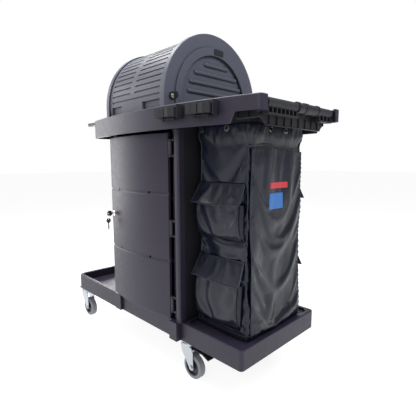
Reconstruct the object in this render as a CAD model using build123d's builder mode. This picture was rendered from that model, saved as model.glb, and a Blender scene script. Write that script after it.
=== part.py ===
"""Hooded housekeeping cart: deck on four casters, locking cabinet, roll-top hood and laundry bag.

Millimetres, +Z up. +X points to the bag and the push handle, -Y to the cabinet door.
Everything is drawn about the cart's own middle plane, then moved along Y on export, so that the
origin lies on the floor under the middle of the whole footprint.
"""
from build123d import *
import math
import os

# Deck: one moulding with a left platform, a middle plinth and a right platform.
DECK_LEFT, DECK_RIGHT = -636.0, 568.0
DECK_BOTTOM, DECK_TOP = 158.0, 234.0
DECK_CORNER, DECK_END_CORNER = 42.0, 14.0
LEFT_HALF, RIGHT_HALF = 258.0, 245.0
PLINTH_LEFT, PLINTH_RIGHT, PLINTH_HALF = -217.0, 253.0, 250.0
POST_WIDTH, LEFT_POST_HALF, RIGHT_POST_HALF = 45.0, 262.0, 268.0
RIM_WIDTH = 18.0
LEFT_FLOOR, RIGHT_FLOOR = 192.0, 226.0
DECK_WALL, CELL_RIB = 6.0, 4.0

# Casters: 100 mm wheels that trail towards the push handle.
WHEEL_RADIUS, TYRE_WIDTH = 50.0, 30.0
HUB_RADIUS, HUB_WIDTH = 37.0, 28.0
AXLE_RADIUS, AXLE_CLEARANCE = 5.0, 0.05
TRAIL = 33.0
PLATE_THICKNESS, PLATE_SIZE, BOLT_SPACING = 4.0, 70.0, 52.0
RACE_RADIUS, RACE_HEIGHT = 25.0, 9.0
FORK_HEAD_TOP, FORK_BRIDGE = 144.5, 132.0
LEG_INSIDE, LEG_THICKNESS = 17.5, 3.0
PEDAL_PIVOT_X, PEDAL_PIVOT_Z, PEDAL_PIN_RADIUS = 20.0, 117.0, 3.0
CASTERS = {
    "front_left": (-600.0, -222.0),
    "back_left": (-600.0, 222.0),
    "front_right": (262.0, -208.0),
    "back_right": (262.0, 208.0),
}
BRAKED = ("front_right", "back_right")

# Cabinet between the deck and the counter tray.
CABINET_LEFT, CABINET_RIGHT, CABINET_HALF = -218.0, 262.0, 245.0
PANEL = 6.0
CABINET_TOP = 1066.0
COLUMN_LEFT, COLUMN_FRONT, COLUMN_BACK = 236.0, -256.0, -228.0
LATCH_RIGHT, LATCH_FRONT = -200.0, -236.0
SHELF_HEIGHTS = (480.0, 742.0)
SHELF_FRONT = -222.0

# Cabinet door: a shallow bow in plan, hinged at its right edge.
DOOR_LEFT, DOOR_RIGHT, DOOR_BACK = -224.0, 203.0, -245.0
DOOR_BOW, DOOR_EDGE, DOOR_SKIN = 38.0, 12.0, 5.0
DOOR_BOTTOM, DOOR_TOP = 240.0, 986.0
DOOR_GROOVES = (478.0, 748.0)
GROOVE_HALF, GROOVE_DEPTH, GROOVE_SWEEP = 8.0, 3.5, 34.0
NOTCHES, NOTCH_HALF = (-130.0, 96.0), 5.0
HINGE_X, HINGE_Y, HINGE_RADIUS = 212.5, -252.0, 4.0
KNUCKLE_HALF, KNUCKLE_WALL = 25.0, 3.0
HINGE_HEIGHTS = (300.0, 613.0, 926.0)
LOCK_X, LOCK_Z, LOCK_RADIUS, LOCK_REACH = -194.0, 635.0, 9.0, 34.0

# Counter tray: bowed front and back edges, deep skirt, arms that carry the push handle.
TRAY_LEFT, TRAY_RIGHT = -372.0, 640.0
TRAY_END_HALF, TRAY_BOW_HALF = 258.0, 318.0
TRAY_TOP, TRAY_SKIRT = 1074.0, 990.0
TRAY_PLATE, TRAY_WALL, TRAY_RIM = 8.0, 5.0, 12.0
TRAY_CORNER, TRAY_END_CORNER = 34.0, 16.0
ARM_BOTTOM, STEP_START, STEP_END = 1026.0, 535.0, 551.0
ARM_INNER, ARM_ROOT = 226.0, 600.0
LIP_LEFT, LIP_HALF, LIP_BOTTOM = -462.0, 250.0, 1057.0
LIP_SLOTS = (-150.0, -50.0, 50.0, 150.0)
BASIN = ((-192.0, -232.0, 1032.0), (178.0, 232.0, 1066.0))

# Laundry bag on its collar.
BAG_LEFT, BAG_RIGHT, BAG_HALF = 286.0, 532.0, 176.0
BAG_BOTTOM, BAG_TOP, BAG_WALL, BAG_CORNER = 226.5, 1004.0, 3.0, 14.0
COLLAR_GAP, COLLAR_WALL, COLLAR_BOTTOM = 0.5, 4.0, 982.0
EYELET_Z, EYELET_OUTER, EYELET_INNER, HOOK_RADIUS = 991.0, 11.0, 6.5, 3.0
POCKETS = ((592.0, 722.0), (262.0, 432.0))
FLAPS = ((724.0, 796.0), (436.0, 516.0))

# Roll-top hood.
HOOD_AXIS, HOOD_MID, HOOD_SKIN = 1121.0, -6.0, 5.0
HOOD_RADIUS, HOOD_LEFT_RADIUS = 275.0, 272.0
HOOD_FACE, HOOD_FLANGE = 214.0, 191.0
RING_OUTER, RING_INNER, RING_RAISE = 222.0, 190.0, 6.0
RIB_RADIUS, RIB_SHIFT = 9.0, 14.0
HOOD_RIBS = {1271.0: 64.0, 1233.0: 121.0, 1194.0: 150.0, 1156.0: 160.0}
SHUTTER_OUTER, SHUTTER_THICKNESS, SHUTTER_HALF = 266.0, 5.0, 189.0
SHUTTER_START, SHUTTER_END = -9.2, 94.0
SLAT_FIRST, SLAT_PITCH, SLAT_COUNT = 3.1, 5.35, 17
SLAT_GROOVE, SLAT_DEPTH = 7.0, 3.0
SHELL_INNER, SHELL_OUTER, SHELL_START = 268.0, 272.0, 90.0
HOOD_LOCK_Y, HOOD_LOCK_Z, LOCK_CUP_RADIUS = -236.0, 1124.0, 15.0
BADGE_Y, BADGE_WIDTH, BADGE_HEIGHT = 18.0, 56.0, 24.0

# Open end frame below the push handle.
FRAME_X, FRAME_HALF, FRAME_START, FRAME_BOTTOM = 594.0, 206.0, 500.0, 988.0
FRAME_RIB, FRAME_PITCH = 4.0, 45.0

# Push handle.
HANDLE_X, HANDLE_Z, BAR_RADIUS, GRIP_RADIUS = 618.0, 1055.0, 11.0, 16.0
GRIPS = ((-208.0, -32.0), (112.0, 208.0))
SADDLES = ((-31.5, 24.0), (26.0, 111.5))
COMB_ROOT = 608.0

# Keys.
KEY_HEAD_START, KEY_HOLE, RING_RADIUS, RING_WIRE = 11.8, 19.0, 12.5, 0.9

# Tool clips on the front skirt.
CLIP_CENTRES = {"left": 296.0, "right": 442.0}
CLIP_Z, CLIP_REACH, CLIP_HALF = 1041.0, 42.0, 58.0
JAW_PIVOT, JAW_PIVOT_OUT, JAW_PIN_RADIUS, JAW_HALF = 27.0, 17.0, 4.0, 15.0

TRAY_MID = (TRAY_LEFT + TRAY_RIGHT) / 2
TRAY_SAG = TRAY_BOW_HALF - TRAY_END_HALF
TRAY_BOW_RADIUS = ((TRAY_RIGHT - TRAY_LEFT) ** 2 / 4 + TRAY_SAG**2) / (2 * TRAY_SAG)
DOOR_MID = (DOOR_LEFT + DOOR_RIGHT) / 2
DOOR_RISE = DOOR_BOW - DOOR_EDGE
DOOR_RADIUS = ((DOOR_RIGHT - DOOR_LEFT) ** 2 / 4 + DOOR_RISE**2) / (2 * DOOR_RISE)
DOOR_CENTRE_Y = DOOR_BACK - DOOR_BOW + DOOR_RADIUS
# The clips reach further out in front than anything does behind.
FOOTPRINT_SHIFT = 21.0


def save(piece, name):
    """Name a finished piece, move it into the shared frame and write it."""
    placed = piece.part.moved(Location((0, FOOTPRINT_SHIFT, 0)))
    placed.label = name
    export_step(placed, f"parts/{name}.step")


def block(low, high, mode=Mode.ADD):
    """A box between two corners, in the piece being built."""
    centre = tuple((a + b) / 2 for a, b in zip(low, high))
    with Locations(centre):
        Box(*[b - a for a, b in zip(low, high)], mode=mode)


def rod_y(x, y0, y1, z, radius, mode=Mode.ADD):
    """A round bar along Y, in the piece being built."""
    with BuildSketch(Plane.XZ.offset(-y1)) as section:
        with Locations((x, z)):
            Circle(radius)
    extrude(section.sketch, amount=y1 - y0, mode=mode)


def rod_z(x, y, z0, z1, radius, mode=Mode.ADD):
    """A round bar along Z, in the piece being built."""
    with BuildSketch(Plane.XY.offset(z0)) as section:
        with Locations((x, y)):
            Circle(radius)
    extrude(section.sketch, amount=z1 - z0, mode=mode)


# ------------------------------------------------------------------ deck
def make_base_deck():
    """Left platform, plinth with four posts and right platform, hollow underneath."""
    with BuildPart() as base_deck:
        block((DECK_LEFT, -LEFT_HALF, DECK_BOTTOM), (PLINTH_LEFT + 5, LEFT_HALF, DECK_TOP))
        fillet(base_deck.edges().filter_by(Axis.Z).group_by(Axis.X)[0], DECK_CORNER)
        block((PLINTH_RIGHT - 5, -RIGHT_HALF, DECK_BOTTOM), (DECK_RIGHT, RIGHT_HALF, DECK_TOP))
        fillet(base_deck.edges().filter_by(Axis.Z).group_by(Axis.X)[-1], DECK_END_CORNER)
        fillet(base_deck.faces().filter_by(Axis.Z).group_by(Axis.Z)[-1].edges(), 4)
        block((PLINTH_LEFT, -PLINTH_HALF, DECK_BOTTOM), (PLINTH_RIGHT, PLINTH_HALF, DECK_TOP))
        for side in (-1, 1):
            add_post(PLINTH_LEFT, side * LEFT_POST_HALF)
            add_post(PLINTH_RIGHT - POST_WIDTH, side * RIGHT_POST_HALF)
        cut_platform(DECK_LEFT + RIM_WIDTH, PLINTH_LEFT - 8, LEFT_HALF - RIM_WIDTH, LEFT_FLOOR)
        cut_platform(CABINET_RIGHT + 12, DECK_RIGHT - RIM_WIDTH, RIGHT_HALF - RIM_WIDTH, RIGHT_FLOOR)
        cut_underside()
    return base_deck


def add_post(x, y):
    """One corner post of the plinth, proud of the deck's side."""
    inner = y - math.copysign(40, y)
    low, high = min(y, inner), max(y, inner)
    block((x, low, DECK_BOTTOM), (x + POST_WIDTH, high, DECK_TOP))


def cut_platform(x0, x1, half, floor):
    """Sink a platform's floor inside its rim."""
    with BuildSketch(Plane.XY.offset(floor)) as hollow:
        with Locations(((x0 + x1) / 2, 0)):
            RectangleRounded(x1 - x0, 2 * half, 26)
    extrude(hollow.sketch, amount=DECK_TOP - floor + 1, mode=Mode.SUBTRACT)


def cut_underside():
    """Hollow each section from below into square cells, clear of the caster pads."""
    cells = [
        (-558.0, PLINTH_LEFT - DECK_WALL, LEFT_HALF - DECK_WALL, 3, 4, LEFT_FLOOR),
        (DECK_LEFT + DECK_WALL, -562.0, 176.0, 1, 3, LEFT_FLOOR),
        (PLINTH_LEFT + DECK_WALL, 218.0, PLINTH_HALF - DECK_WALL - 4, 4, 4, DECK_TOP),
        (222.0, 302.0, 164.0, 1, 3, RIGHT_FLOOR),
        (306.0, 526.0, RIGHT_HALF - DECK_WALL, 2, 4, RIGHT_FLOOR),
        (530.0, DECK_RIGHT - DECK_WALL, 190.0, 1, 3, RIGHT_FLOOR),
    ]
    for x0, x1, half, columns, rows, floor in cells:
        pitch_x, pitch_y = (x1 - x0) / columns, 2 * half / rows
        with BuildSketch(Plane.XY.offset(DECK_BOTTOM - 1)) as grid:
            with Locations(((x0 + x1) / 2, 0)):
                with GridLocations(pitch_x, pitch_y, columns, rows):
                    Rectangle(pitch_x - CELL_RIB, pitch_y - CELL_RIB)
        extrude(grid.sketch, amount=floor - DECK_WALL - DECK_BOTTOM + 1, mode=Mode.SUBTRACT)


# ------------------------------------------------------------------ casters
def make_caster_plates():
    """The four top plates with their swivel races."""
    with BuildPart() as caster_plates:
        for x, y in CASTERS.values():
            with BuildSketch(Plane.XY.offset(DECK_BOTTOM - PLATE_THICKNESS)):
                with Locations((x, y)):
                    RectangleRounded(PLATE_SIZE, PLATE_SIZE, 8)
            extrude(amount=PLATE_THICKNESS)
            race_top = DECK_BOTTOM - PLATE_THICKNESS
            rod_z(x, y, race_top - RACE_HEIGHT, race_top, RACE_RADIUS)
    return caster_plates


def make_caster_bolts():
    """Four hexagon bolt heads under each top plate."""
    head_bottom = DECK_BOTTOM - PLATE_THICKNESS - 5
    with BuildPart() as caster_bolts:
        for x, y in CASTERS.values():
            with BuildSketch(Plane.XY.offset(head_bottom)):
                with Locations((x, y)):
                    with GridLocations(BOLT_SPACING, BOLT_SPACING, 2, 2):
                        RegularPolygon(5.5, 6)
            extrude(amount=5)
    return caster_bolts


def make_fork(x, y, braked):
    """Swivel head, bridge and two tapering legs; a braked fork carries the pedal's pin."""
    wheel_x = x + TRAIL
    with BuildPart() as fork:
        rod_z(x, y, FORK_BRIDGE - 1, FORK_HEAD_TOP, 30)
        width = LEG_INSIDE + LEG_THICKNESS
        block((x - 29, y - width, FORK_BRIDGE - 4), (x + 30, y + width, FORK_BRIDGE))
        for side in (-1, 1):
            inner, outer = y + side * LEG_INSIDE, y + side * width
            with BuildSketch(Plane.XZ.offset(-max(inner, outer))):
                with BuildLine():
                    Polyline(
                        (x - 29, FORK_BRIDGE), (x + 34, FORK_BRIDGE), (x + 42, 112),
                        (wheel_x + 12, 54), (wheel_x - 12, 46), (x - 22, 104), close=True,
                    )
                make_face()
                with Locations((wheel_x, WHEEL_RADIUS)):
                    Circle(13)
            extrude(amount=LEG_THICKNESS)
        rod_y(wheel_x, y - width, y + width, WHEEL_RADIUS, AXLE_RADIUS, Mode.SUBTRACT)
        if braked:
            rod_y(x + PEDAL_PIVOT_X, y - width, y + width, PEDAL_PIVOT_Z, PEDAL_PIN_RADIUS)
    return fork


def make_axle(x, y):
    """Axle bolt with a head and a nut outside the legs."""
    wheel_x = x + TRAIL
    reach = LEG_INSIDE + LEG_THICKNESS
    with BuildPart() as axle:
        rod_y(wheel_x, y - reach, y + reach, WHEEL_RADIUS, AXLE_RADIUS)
        for start in (-reach - 4, reach):
            with BuildSketch(Plane.XZ.offset(-(y + start + 4))):
                with Locations((wheel_x, WHEEL_RADIUS)):
                    RegularPolygon(8.5, 6)
            extrude(amount=4)
    return axle


def make_hub(x, y):
    """Wheel core with a dished web on each side and a plain bore."""
    wheel_x = x + TRAIL
    half = HUB_WIDTH / 2
    with BuildPart() as hub:
        rod_y(wheel_x, y - half, y + half, WHEEL_RADIUS, HUB_RADIUS)
        for side in (-1, 1):
            low, high = sorted((y + side * 8, y + side * (half + 1)))
            with BuildSketch(Plane.XZ.offset(-high)):
                with Locations((wheel_x, WHEEL_RADIUS)):
                    Circle(HUB_RADIUS - 5)
                    Circle(13, mode=Mode.SUBTRACT)
            extrude(amount=high - low, mode=Mode.SUBTRACT)
        bore = AXLE_RADIUS + AXLE_CLEARANCE
        rod_y(wheel_x, y - half - 1, y + half + 1, WHEEL_RADIUS, bore, Mode.SUBTRACT)
    return hub


def make_tyre(x, y):
    """Grey tread ring with rounded shoulders."""
    wheel_x = x + TRAIL
    half = TYRE_WIDTH / 2
    with BuildPart() as tyre:
        rod_y(wheel_x, y - half, y + half, WHEEL_RADIUS, WHEEL_RADIUS)
        fillet(tyre.edges().filter_by(GeomType.CIRCLE), 6)
        rod_y(wheel_x, y - half - 1, y + half + 1, WHEEL_RADIUS, HUB_RADIUS, Mode.SUBTRACT)
    return tyre


def make_pedal(x, y):
    """Bent sheet brake pedal with an eye round its pin."""
    half = LEG_INSIDE - 2
    with BuildPart() as pedal:
        with BuildSketch(Plane.XZ.offset(-(y + half))):
            with BuildLine():
                Polyline(
                    (x + 18, 120), (x + 48, 126), (x + 92, 125), (x + 124, 112),
                    (x + 126, 116), (x + 94, 129), (x + 47, 130), (x + 18, 125), close=True,
                )
            make_face()
            with Locations((x + PEDAL_PIVOT_X, PEDAL_PIVOT_Z)):
                Circle(6.5)
        extrude(amount=2 * half)
        bore = PEDAL_PIN_RADIUS + AXLE_CLEARANCE
        centre_x = x + PEDAL_PIVOT_X
        rod_y(centre_x, y - half - 1, y + half + 1, PEDAL_PIVOT_Z, bore, Mode.SUBTRACT)
    return pedal


# ------------------------------------------------------------------ cabinet
def make_side_left():
    with BuildPart() as side:
        block((CABINET_LEFT, LATCH_FRONT + 13, DECK_TOP),
              (CABINET_LEFT + PANEL, CABINET_HALF - PANEL, CABINET_TOP))
    return side


def make_side_right():
    with BuildPart() as side:
        block((CABINET_RIGHT - PANEL, COLUMN_BACK, DECK_TOP),
              (CABINET_RIGHT, CABINET_HALF - PANEL, CABINET_TOP))
    return side


def make_back():
    with BuildPart() as back:
        block((CABINET_LEFT, CABINET_HALF - PANEL, DECK_TOP),
              (CABINET_RIGHT, CABINET_HALF, CABINET_TOP))
    return back


def make_hinge_column():
    """Rounded pilaster at the right of the door."""
    with BuildPart() as column:
        block((COLUMN_LEFT, COLUMN_FRONT, DECK_TOP), (CABINET_RIGHT, COLUMN_BACK, TRAY_SKIRT + 4))
        front = column.edges().filter_by(Axis.Z).group_by(Axis.Y)[0]
        fillet(front, 8)
        block((COLUMN_LEFT - 28, COLUMN_BACK - 8, DECK_TOP), (COLUMN_LEFT, COLUMN_BACK, CABINET_TOP))
        block((COLUMN_LEFT, COLUMN_BACK - 8, TRAY_SKIRT), (CABINET_RIGHT, COLUMN_BACK, CABINET_TOP))
    return column


def make_latch_column():
    """Narrow stile that the door closes against."""
    with BuildPart() as column:
        block((CABINET_LEFT, LATCH_FRONT, DECK_TOP), (LATCH_RIGHT, LATCH_FRONT + 5, CABINET_TOP))
        block((CABINET_LEFT, LATCH_FRONT, DECK_TOP),
              (CABINET_LEFT + PANEL, LATCH_FRONT + 13, CABINET_TOP))
    return column


def make_shelves():
    """Two shelves with a turned-down front edge."""
    with BuildPart() as shelves:
        for z in SHELF_HEIGHTS:
            left, right = CABINET_LEFT + PANEL, CABINET_RIGHT - PANEL
            block((left, SHELF_FRONT, z - 4), (right, CABINET_HALF - PANEL, z))
            block((left, SHELF_FRONT, z - 22), (right, SHELF_FRONT + 4, z))
    return shelves


def door_bow(inset, height, bottom, mode):
    """The door's bowed plan shape, drawn inward all round, pulled up."""
    left, right = DOOR_LEFT + inset, DOOR_RIGHT - inset
    back, front = DOOR_BACK - inset, DOOR_BACK - DOOR_EDGE + inset
    with BuildSketch(Plane.XY.offset(bottom)) as plan:
        with BuildLine():
            ThreePointArc((left, front), (DOOR_MID, DOOR_BACK - DOOR_BOW + inset), (right, front))
            Polyline((right, front), (right, back), (left, back), (left, front))
        make_face()
    extrude(plan.sketch, amount=height, mode=mode)


def cut_door_groove(z):
    """One shadow groove across the door, with a sloping lower lip and two notches."""
    start = math.radians(-GROOVE_SWEEP / 2)
    out = (math.sin(start), -math.cos(start), 0)
    across = (-math.cos(start), -math.sin(start), 0)
    centre = (DOOR_MID, DOOR_CENTRE_Y, 0)
    near, far = DOOR_RADIUS - GROOVE_DEPTH, DOOR_RADIUS + 1
    with BuildSketch(Plane(centre, out, across)) as section:
        with BuildLine():
            Polyline((far, z + GROOVE_HALF), (near, z + GROOVE_HALF),
                     (near, z - 1), (far, z - GROOVE_HALF), close=True)
        make_face()
    revolve(section.sketch, axis=Axis(centre, (0, 0, 1)), revolution_arc=GROOVE_SWEEP,
            mode=Mode.SUBTRACT)
    for x in NOTCHES:
        block((x - NOTCH_HALF, DOOR_BACK - DOOR_BOW - 1, z - 2),
              (x + NOTCH_HALF, DOOR_BACK - DOOR_EDGE - 6, z + GROOVE_HALF), Mode.SUBTRACT)


def make_cabinet_door():
    """Hollow bowed door with two shadow grooves, knuckles and a lock hole."""
    with BuildPart() as door:
        door_bow(0, DOOR_TOP - DOOR_BOTTOM, DOOR_BOTTOM, Mode.ADD)
        fillet(door.faces().filter_by(Axis.Z).edges().filter_by(GeomType.CIRCLE), 3)
        inner_height = DOOR_TOP - DOOR_BOTTOM - 2 * DOOR_SKIN
        door_bow(DOOR_SKIN, inner_height, DOOR_BOTTOM + DOOR_SKIN, Mode.SUBTRACT)
        for z in DOOR_GROOVES:
            cut_door_groove(z)
        for z in HINGE_HEIGHTS:
            low, high = z - KNUCKLE_HALF, z + KNUCKLE_HALF
            block((DOOR_RIGHT - 4, HINGE_Y - 3, low), (HINGE_X, HINGE_Y + 3, high))
            rod_z(HINGE_X, HINGE_Y, low, high, HINGE_RADIUS + KNUCKLE_WALL)
            bore = HINGE_RADIUS + AXLE_CLEARANCE
            rod_z(HINGE_X, HINGE_Y, low - 1, high + 1, bore, Mode.SUBTRACT)
        with BuildSketch(lock_plane(4)):
            Circle(LOCK_RADIUS + AXLE_CLEARANCE)
        extrude(amount=-30, mode=Mode.SUBTRACT)
    return door


def lock_plane(out):
    """A plane square to the door's skin at its lock, a distance outside the skin."""
    turn = math.asin((LOCK_X - DOOR_MID) / DOOR_RADIUS)
    normal = (math.sin(turn), -math.cos(turn), 0)
    radius = DOOR_RADIUS + out
    origin = (DOOR_MID + radius * normal[0], DOOR_CENTRE_Y + radius * normal[1], LOCK_Z)
    return Plane(origin, (0, 0, 1), normal)


def make_hinge_pins():
    """Pins in brackets on the hinge column, above and below each door knuckle."""
    with BuildPart() as pins:
        for z in HINGE_HEIGHTS:
            reach = KNUCKLE_HALF + 9
            rod_z(HINGE_X, HINGE_Y, z - reach, z + reach, HINGE_RADIUS)
            for z0 in (z - reach, z + KNUCKLE_HALF + 1):
                rod_z(HINGE_X, HINGE_Y, z0, z0 + 8, HINGE_RADIUS + KNUCKLE_WALL)
                block((HINGE_X, HINGE_Y - 1, z0), (COLUMN_LEFT, HINGE_Y + 7, z0 + 8))
    return pins


def make_door_lock():
    """Bezel, plug, blade and cam turn together with the key."""
    with BuildPart() as lock:
        with BuildSketch(lock_plane(0.5)):
            Circle(LOCK_RADIUS + 4)
        extrude(amount=2)
        with BuildSketch(lock_plane(0.5)):
            Circle(LOCK_RADIUS)
        extrude(amount=-LOCK_REACH - 1)
        with BuildSketch(lock_plane(-LOCK_REACH)):
            with Locations((9, 0)):
                SlotOverall(30, 14)
        extrude(amount=-2)
        with BuildSketch(lock_plane(2.5)):
            Rectangle(8, 2.2)
        extrude(amount=9)
    return lock


def make_key_head(plane):
    """Oval key head with a hole for the ring."""
    with BuildPart() as head:
        across = Plane(plane.origin, plane.z_dir, plane.y_dir)
        with BuildSketch(across.offset(-1.6)):
            with Locations((12, 0)):
                Ellipse(12, 13)
            with Locations((KEY_HOLE, 0)):
                Circle(2.4, mode=Mode.SUBTRACT)
        extrude(amount=3.2)
    return head


# ------------------------------------------------------------------ counter tray
def tray_slab(inset, z0, z1, mode=Mode.ADD):
    """The tray's bowed outline, drawn inward, between two heights."""
    with BuildSketch(Plane.XY.offset(z0)) as plan:
        with BuildLine():
            left, right = TRAY_LEFT + inset, TRAY_RIGHT - inset
            end, bow = TRAY_END_HALF - inset, TRAY_BOW_HALF - inset
            ThreePointArc((left, -end), (TRAY_MID, -bow), (right, -end))
            Line((right, -end), (right, end))
            ThreePointArc((right, end), (TRAY_MID, bow), (left, end))
            Line((left, end), (left, -end))
        make_face()
        fillet(plan.vertices().group_by(Axis.X)[0], TRAY_CORNER - inset)
        fillet(plan.vertices().group_by(Axis.X)[-1], TRAY_END_CORNER - inset)
    extrude(plan.sketch, amount=z1 - z0, mode=mode)


def make_counter_tray():
    """Top plate, rim, skirt, basin under the hood, bag mouth, handle arms and left shelf."""
    with BuildPart() as tray:
        tray_slab(0, TRAY_SKIRT, TRAY_TOP)
        fillet(tray.faces().sort_by(Axis.Z)[-1].edges(), 4)
        with BuildSketch(Plane.XY.offset(LIP_BOTTOM)):
            with Locations(((LIP_LEFT + TRAY_LEFT + 40) / 2, 0)):
                RectangleRounded(TRAY_LEFT + 40 - LIP_LEFT, 2 * LIP_HALF, 18)
        extrude(amount=TRAY_TOP - 4 - LIP_BOTTOM)
        tray_slab(TRAY_WALL, TRAY_SKIRT - 1, TRAY_TOP - TRAY_PLATE, Mode.SUBTRACT)
        tray_slab(TRAY_RIM, TRAY_TOP - 4, TRAY_TOP + 1, Mode.SUBTRACT)
        low, high = BASIN
        block((low[0] - 4, low[1] - 4, low[2]), (high[0] + 4, high[1] + 4, high[2]))
        block((low[0], low[1], low[2] + 4), (high[0], high[1], TRAY_TOP + 1), Mode.SUBTRACT)
        mouth = BAG_HALF - BAG_WALL - COLLAR_GAP
        block((BAG_LEFT + BAG_WALL + COLLAR_GAP, -mouth, TRAY_SKIRT),
              (BAG_RIGHT - BAG_WALL - COLLAR_GAP, mouth, TRAY_TOP + 1), Mode.SUBTRACT)
        with BuildSketch(Plane.XZ.offset(-400)):
            with BuildLine():
                Polyline((STEP_START, TRAY_SKIRT - 1), (STEP_END, ARM_BOTTOM),
                         (TRAY_RIGHT + 1, ARM_BOTTOM), (TRAY_RIGHT + 1, TRAY_SKIRT - 1), close=True)
            make_face()
        extrude(amount=800, mode=Mode.SUBTRACT)
        block((ARM_ROOT, -ARM_INNER, TRAY_SKIRT), (TRAY_RIGHT + 1, ARM_INNER, TRAY_TOP + 1),
              Mode.SUBTRACT)
        for side in (-1, 1):
            near, far = sorted((side * ARM_INNER, side * (ARM_INNER + 4)))
            block((ARM_ROOT, near, ARM_BOTTOM), (TRAY_RIGHT - 12, far, TRAY_TOP - 4))
        for y in LIP_SLOTS:
            with BuildSketch(Plane.XY.offset(LIP_BOTTOM - 1)):
                with Locations((LIP_LEFT + 42, y)):
                    SlotOverall(62, 30, rotation=90)
            extrude(amount=TRAY_TOP, mode=Mode.SUBTRACT)
    return tray


def make_ribbed_skirt():
    """Open, ribbed end frame between the arms, below the handle."""
    outer, ledge = FRAME_X + 4, FRAME_BOTTOM + 3
    with BuildPart() as skirt:
        block((FRAME_X, -FRAME_HALF, FRAME_BOTTOM), (outer, FRAME_HALF, ARM_BOTTOM + 40))
        for side in (-1, 1):
            near, far = sorted((side * FRAME_HALF, side * (FRAME_HALF - 4)))
            block((FRAME_START, near, FRAME_BOTTOM), (outer, far, TRAY_TOP - TRAY_PLATE))
            near, far = sorted((side * FRAME_HALF, side * (FRAME_HALF + FRAME_RIB)))
            block((FRAME_START, near, FRAME_BOTTOM), (outer, far, ledge))
            for index in range(3):
                x = FRAME_START + 5 + FRAME_PITCH * index
                block((x, near, FRAME_BOTTOM), (x + 3, far, ARM_BOTTOM + 26))
        block((outer, -FRAME_HALF, FRAME_BOTTOM), (outer + FRAME_RIB, FRAME_HALF, ledge))
        for index in range(10):
            y = -FRAME_HALF + FRAME_PITCH * index
            block((outer, y, FRAME_BOTTOM), (outer + FRAME_RIB, y + 3, ARM_BOTTOM - 2))
        for side in (-1, 1):
            trim_frame_corner(side)
    return skirt


def trim_frame_corner(side):
    """Slope the end frame's lower corner up towards one arm."""
    edge = side * (FRAME_HALF + FRAME_RIB + 1)
    with BuildSketch(Plane.YZ.offset(FRAME_START - 60)) as slope:
        with BuildLine():
            Polyline((edge, FRAME_BOTTOM - 1), (edge - side * 38, FRAME_BOTTOM - 1),
                     (edge, FRAME_BOTTOM + 30), close=True)
        make_face()
    extrude(slope.sketch, amount=200, mode=Mode.SUBTRACT)


# ------------------------------------------------------------------ laundry bag
def bag_block(inset, z0, z1, mode=Mode.ADD):
    """The bag's rounded plan shape, drawn inward, between two heights."""
    with BuildSketch(Plane.XY.offset(z0)) as plan:
        with Locations(((BAG_LEFT + BAG_RIGHT) / 2, 0)):
            width = BAG_RIGHT - BAG_LEFT - 2 * inset
            RectangleRounded(width, 2 * (BAG_HALF - inset), BAG_CORNER - inset)
    extrude(plan.sketch, amount=z1 - z0, mode=mode)


def hook_spots():
    """Where the bag hangs: a point on its outer face and the outward direction."""
    middle = (BAG_LEFT + BAG_RIGHT) / 2
    for x in (BAG_LEFT + 20, middle + 24):
        yield (x, -BAG_HALF, EYELET_Z), (0, -1, 0)
        yield (x, BAG_HALF, EYELET_Z), (0, 1, 0)
    for y in (-48.0, 48.0):
        yield (BAG_RIGHT, y, EYELET_Z - 3), (1, 0, 0)


def make_bag():
    """Open-topped bag wall and floor with a hole at each eyelet."""
    with BuildPart() as bag:
        bag_block(0, BAG_BOTTOM, BAG_TOP)
        bag_block(BAG_WALL, BAG_BOTTOM + BAG_WALL, BAG_TOP + 1, Mode.SUBTRACT)
        for spot, out in hook_spots():
            with BuildSketch(Plane(spot, z_dir=out)):
                Circle(EYELET_INNER)
            extrude(amount=-BAG_WALL - 1, mode=Mode.SUBTRACT)
    return bag


def make_bag_eyelets():
    """Pressed rings round the hanging holes."""
    with BuildPart() as eyelets:
        for spot, out in hook_spots():
            with BuildSketch(Plane(spot, z_dir=out)):
                Circle(EYELET_OUTER)
                Circle(EYELET_INNER, mode=Mode.SUBTRACT)
            extrude(amount=1.5)
    return eyelets


def make_bag_collar():
    """Rectangular collar under the bag mouth, which the bag is drawn over."""
    inset = BAG_WALL + COLLAR_GAP
    with BuildPart() as collar:
        bag_block(inset, COLLAR_BOTTOM, TRAY_TOP - TRAY_PLATE)
        bag_block(inset + COLLAR_WALL, COLLAR_BOTTOM, TRAY_TOP, Mode.SUBTRACT)
    return collar


def make_bag_hooks():
    """Studs on the collar that the eyelets hang on."""
    with BuildPart() as hooks:
        for spot, out in hook_spots():
            root = Plane(spot, z_dir=out).offset(-BAG_WALL - COLLAR_GAP)
            with BuildSketch(root):
                Circle(HOOK_RADIUS)
            extrude(amount=BAG_WALL + COLLAR_GAP + 5)
            with BuildSketch(root.offset(BAG_WALL + COLLAR_GAP + 3)):
                Circle(HOOK_RADIUS + 1.2)
            extrude(amount=3)
    return hooks


def side_profile(points, side):
    """A closed outline in Y and Z, mirrored to one side of the bag, pulled along X."""
    with BuildLine() as outline:
        Polyline(*[(side * y, z) for y, z in points], close=True)
    make_face(outline.edges())


def make_bag_pockets():
    """Two stuffed pockets on the front and two on the back."""
    skin = BAG_HALF + 0.3
    with BuildPart() as pockets:
        for bottom, top in POCKETS:
            for side in (-1, 1):
                with BuildSketch(Plane.YZ.offset(BAG_LEFT + 4)):
                    side_profile([(skin, bottom), (skin + 14, bottom + 8), (skin + 30, top - 30),
                                  (skin + 22, top - 2), (skin, top - 2)], side)
                extrude(amount=BAG_RIGHT - BAG_LEFT - 22)
    return pockets


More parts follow.
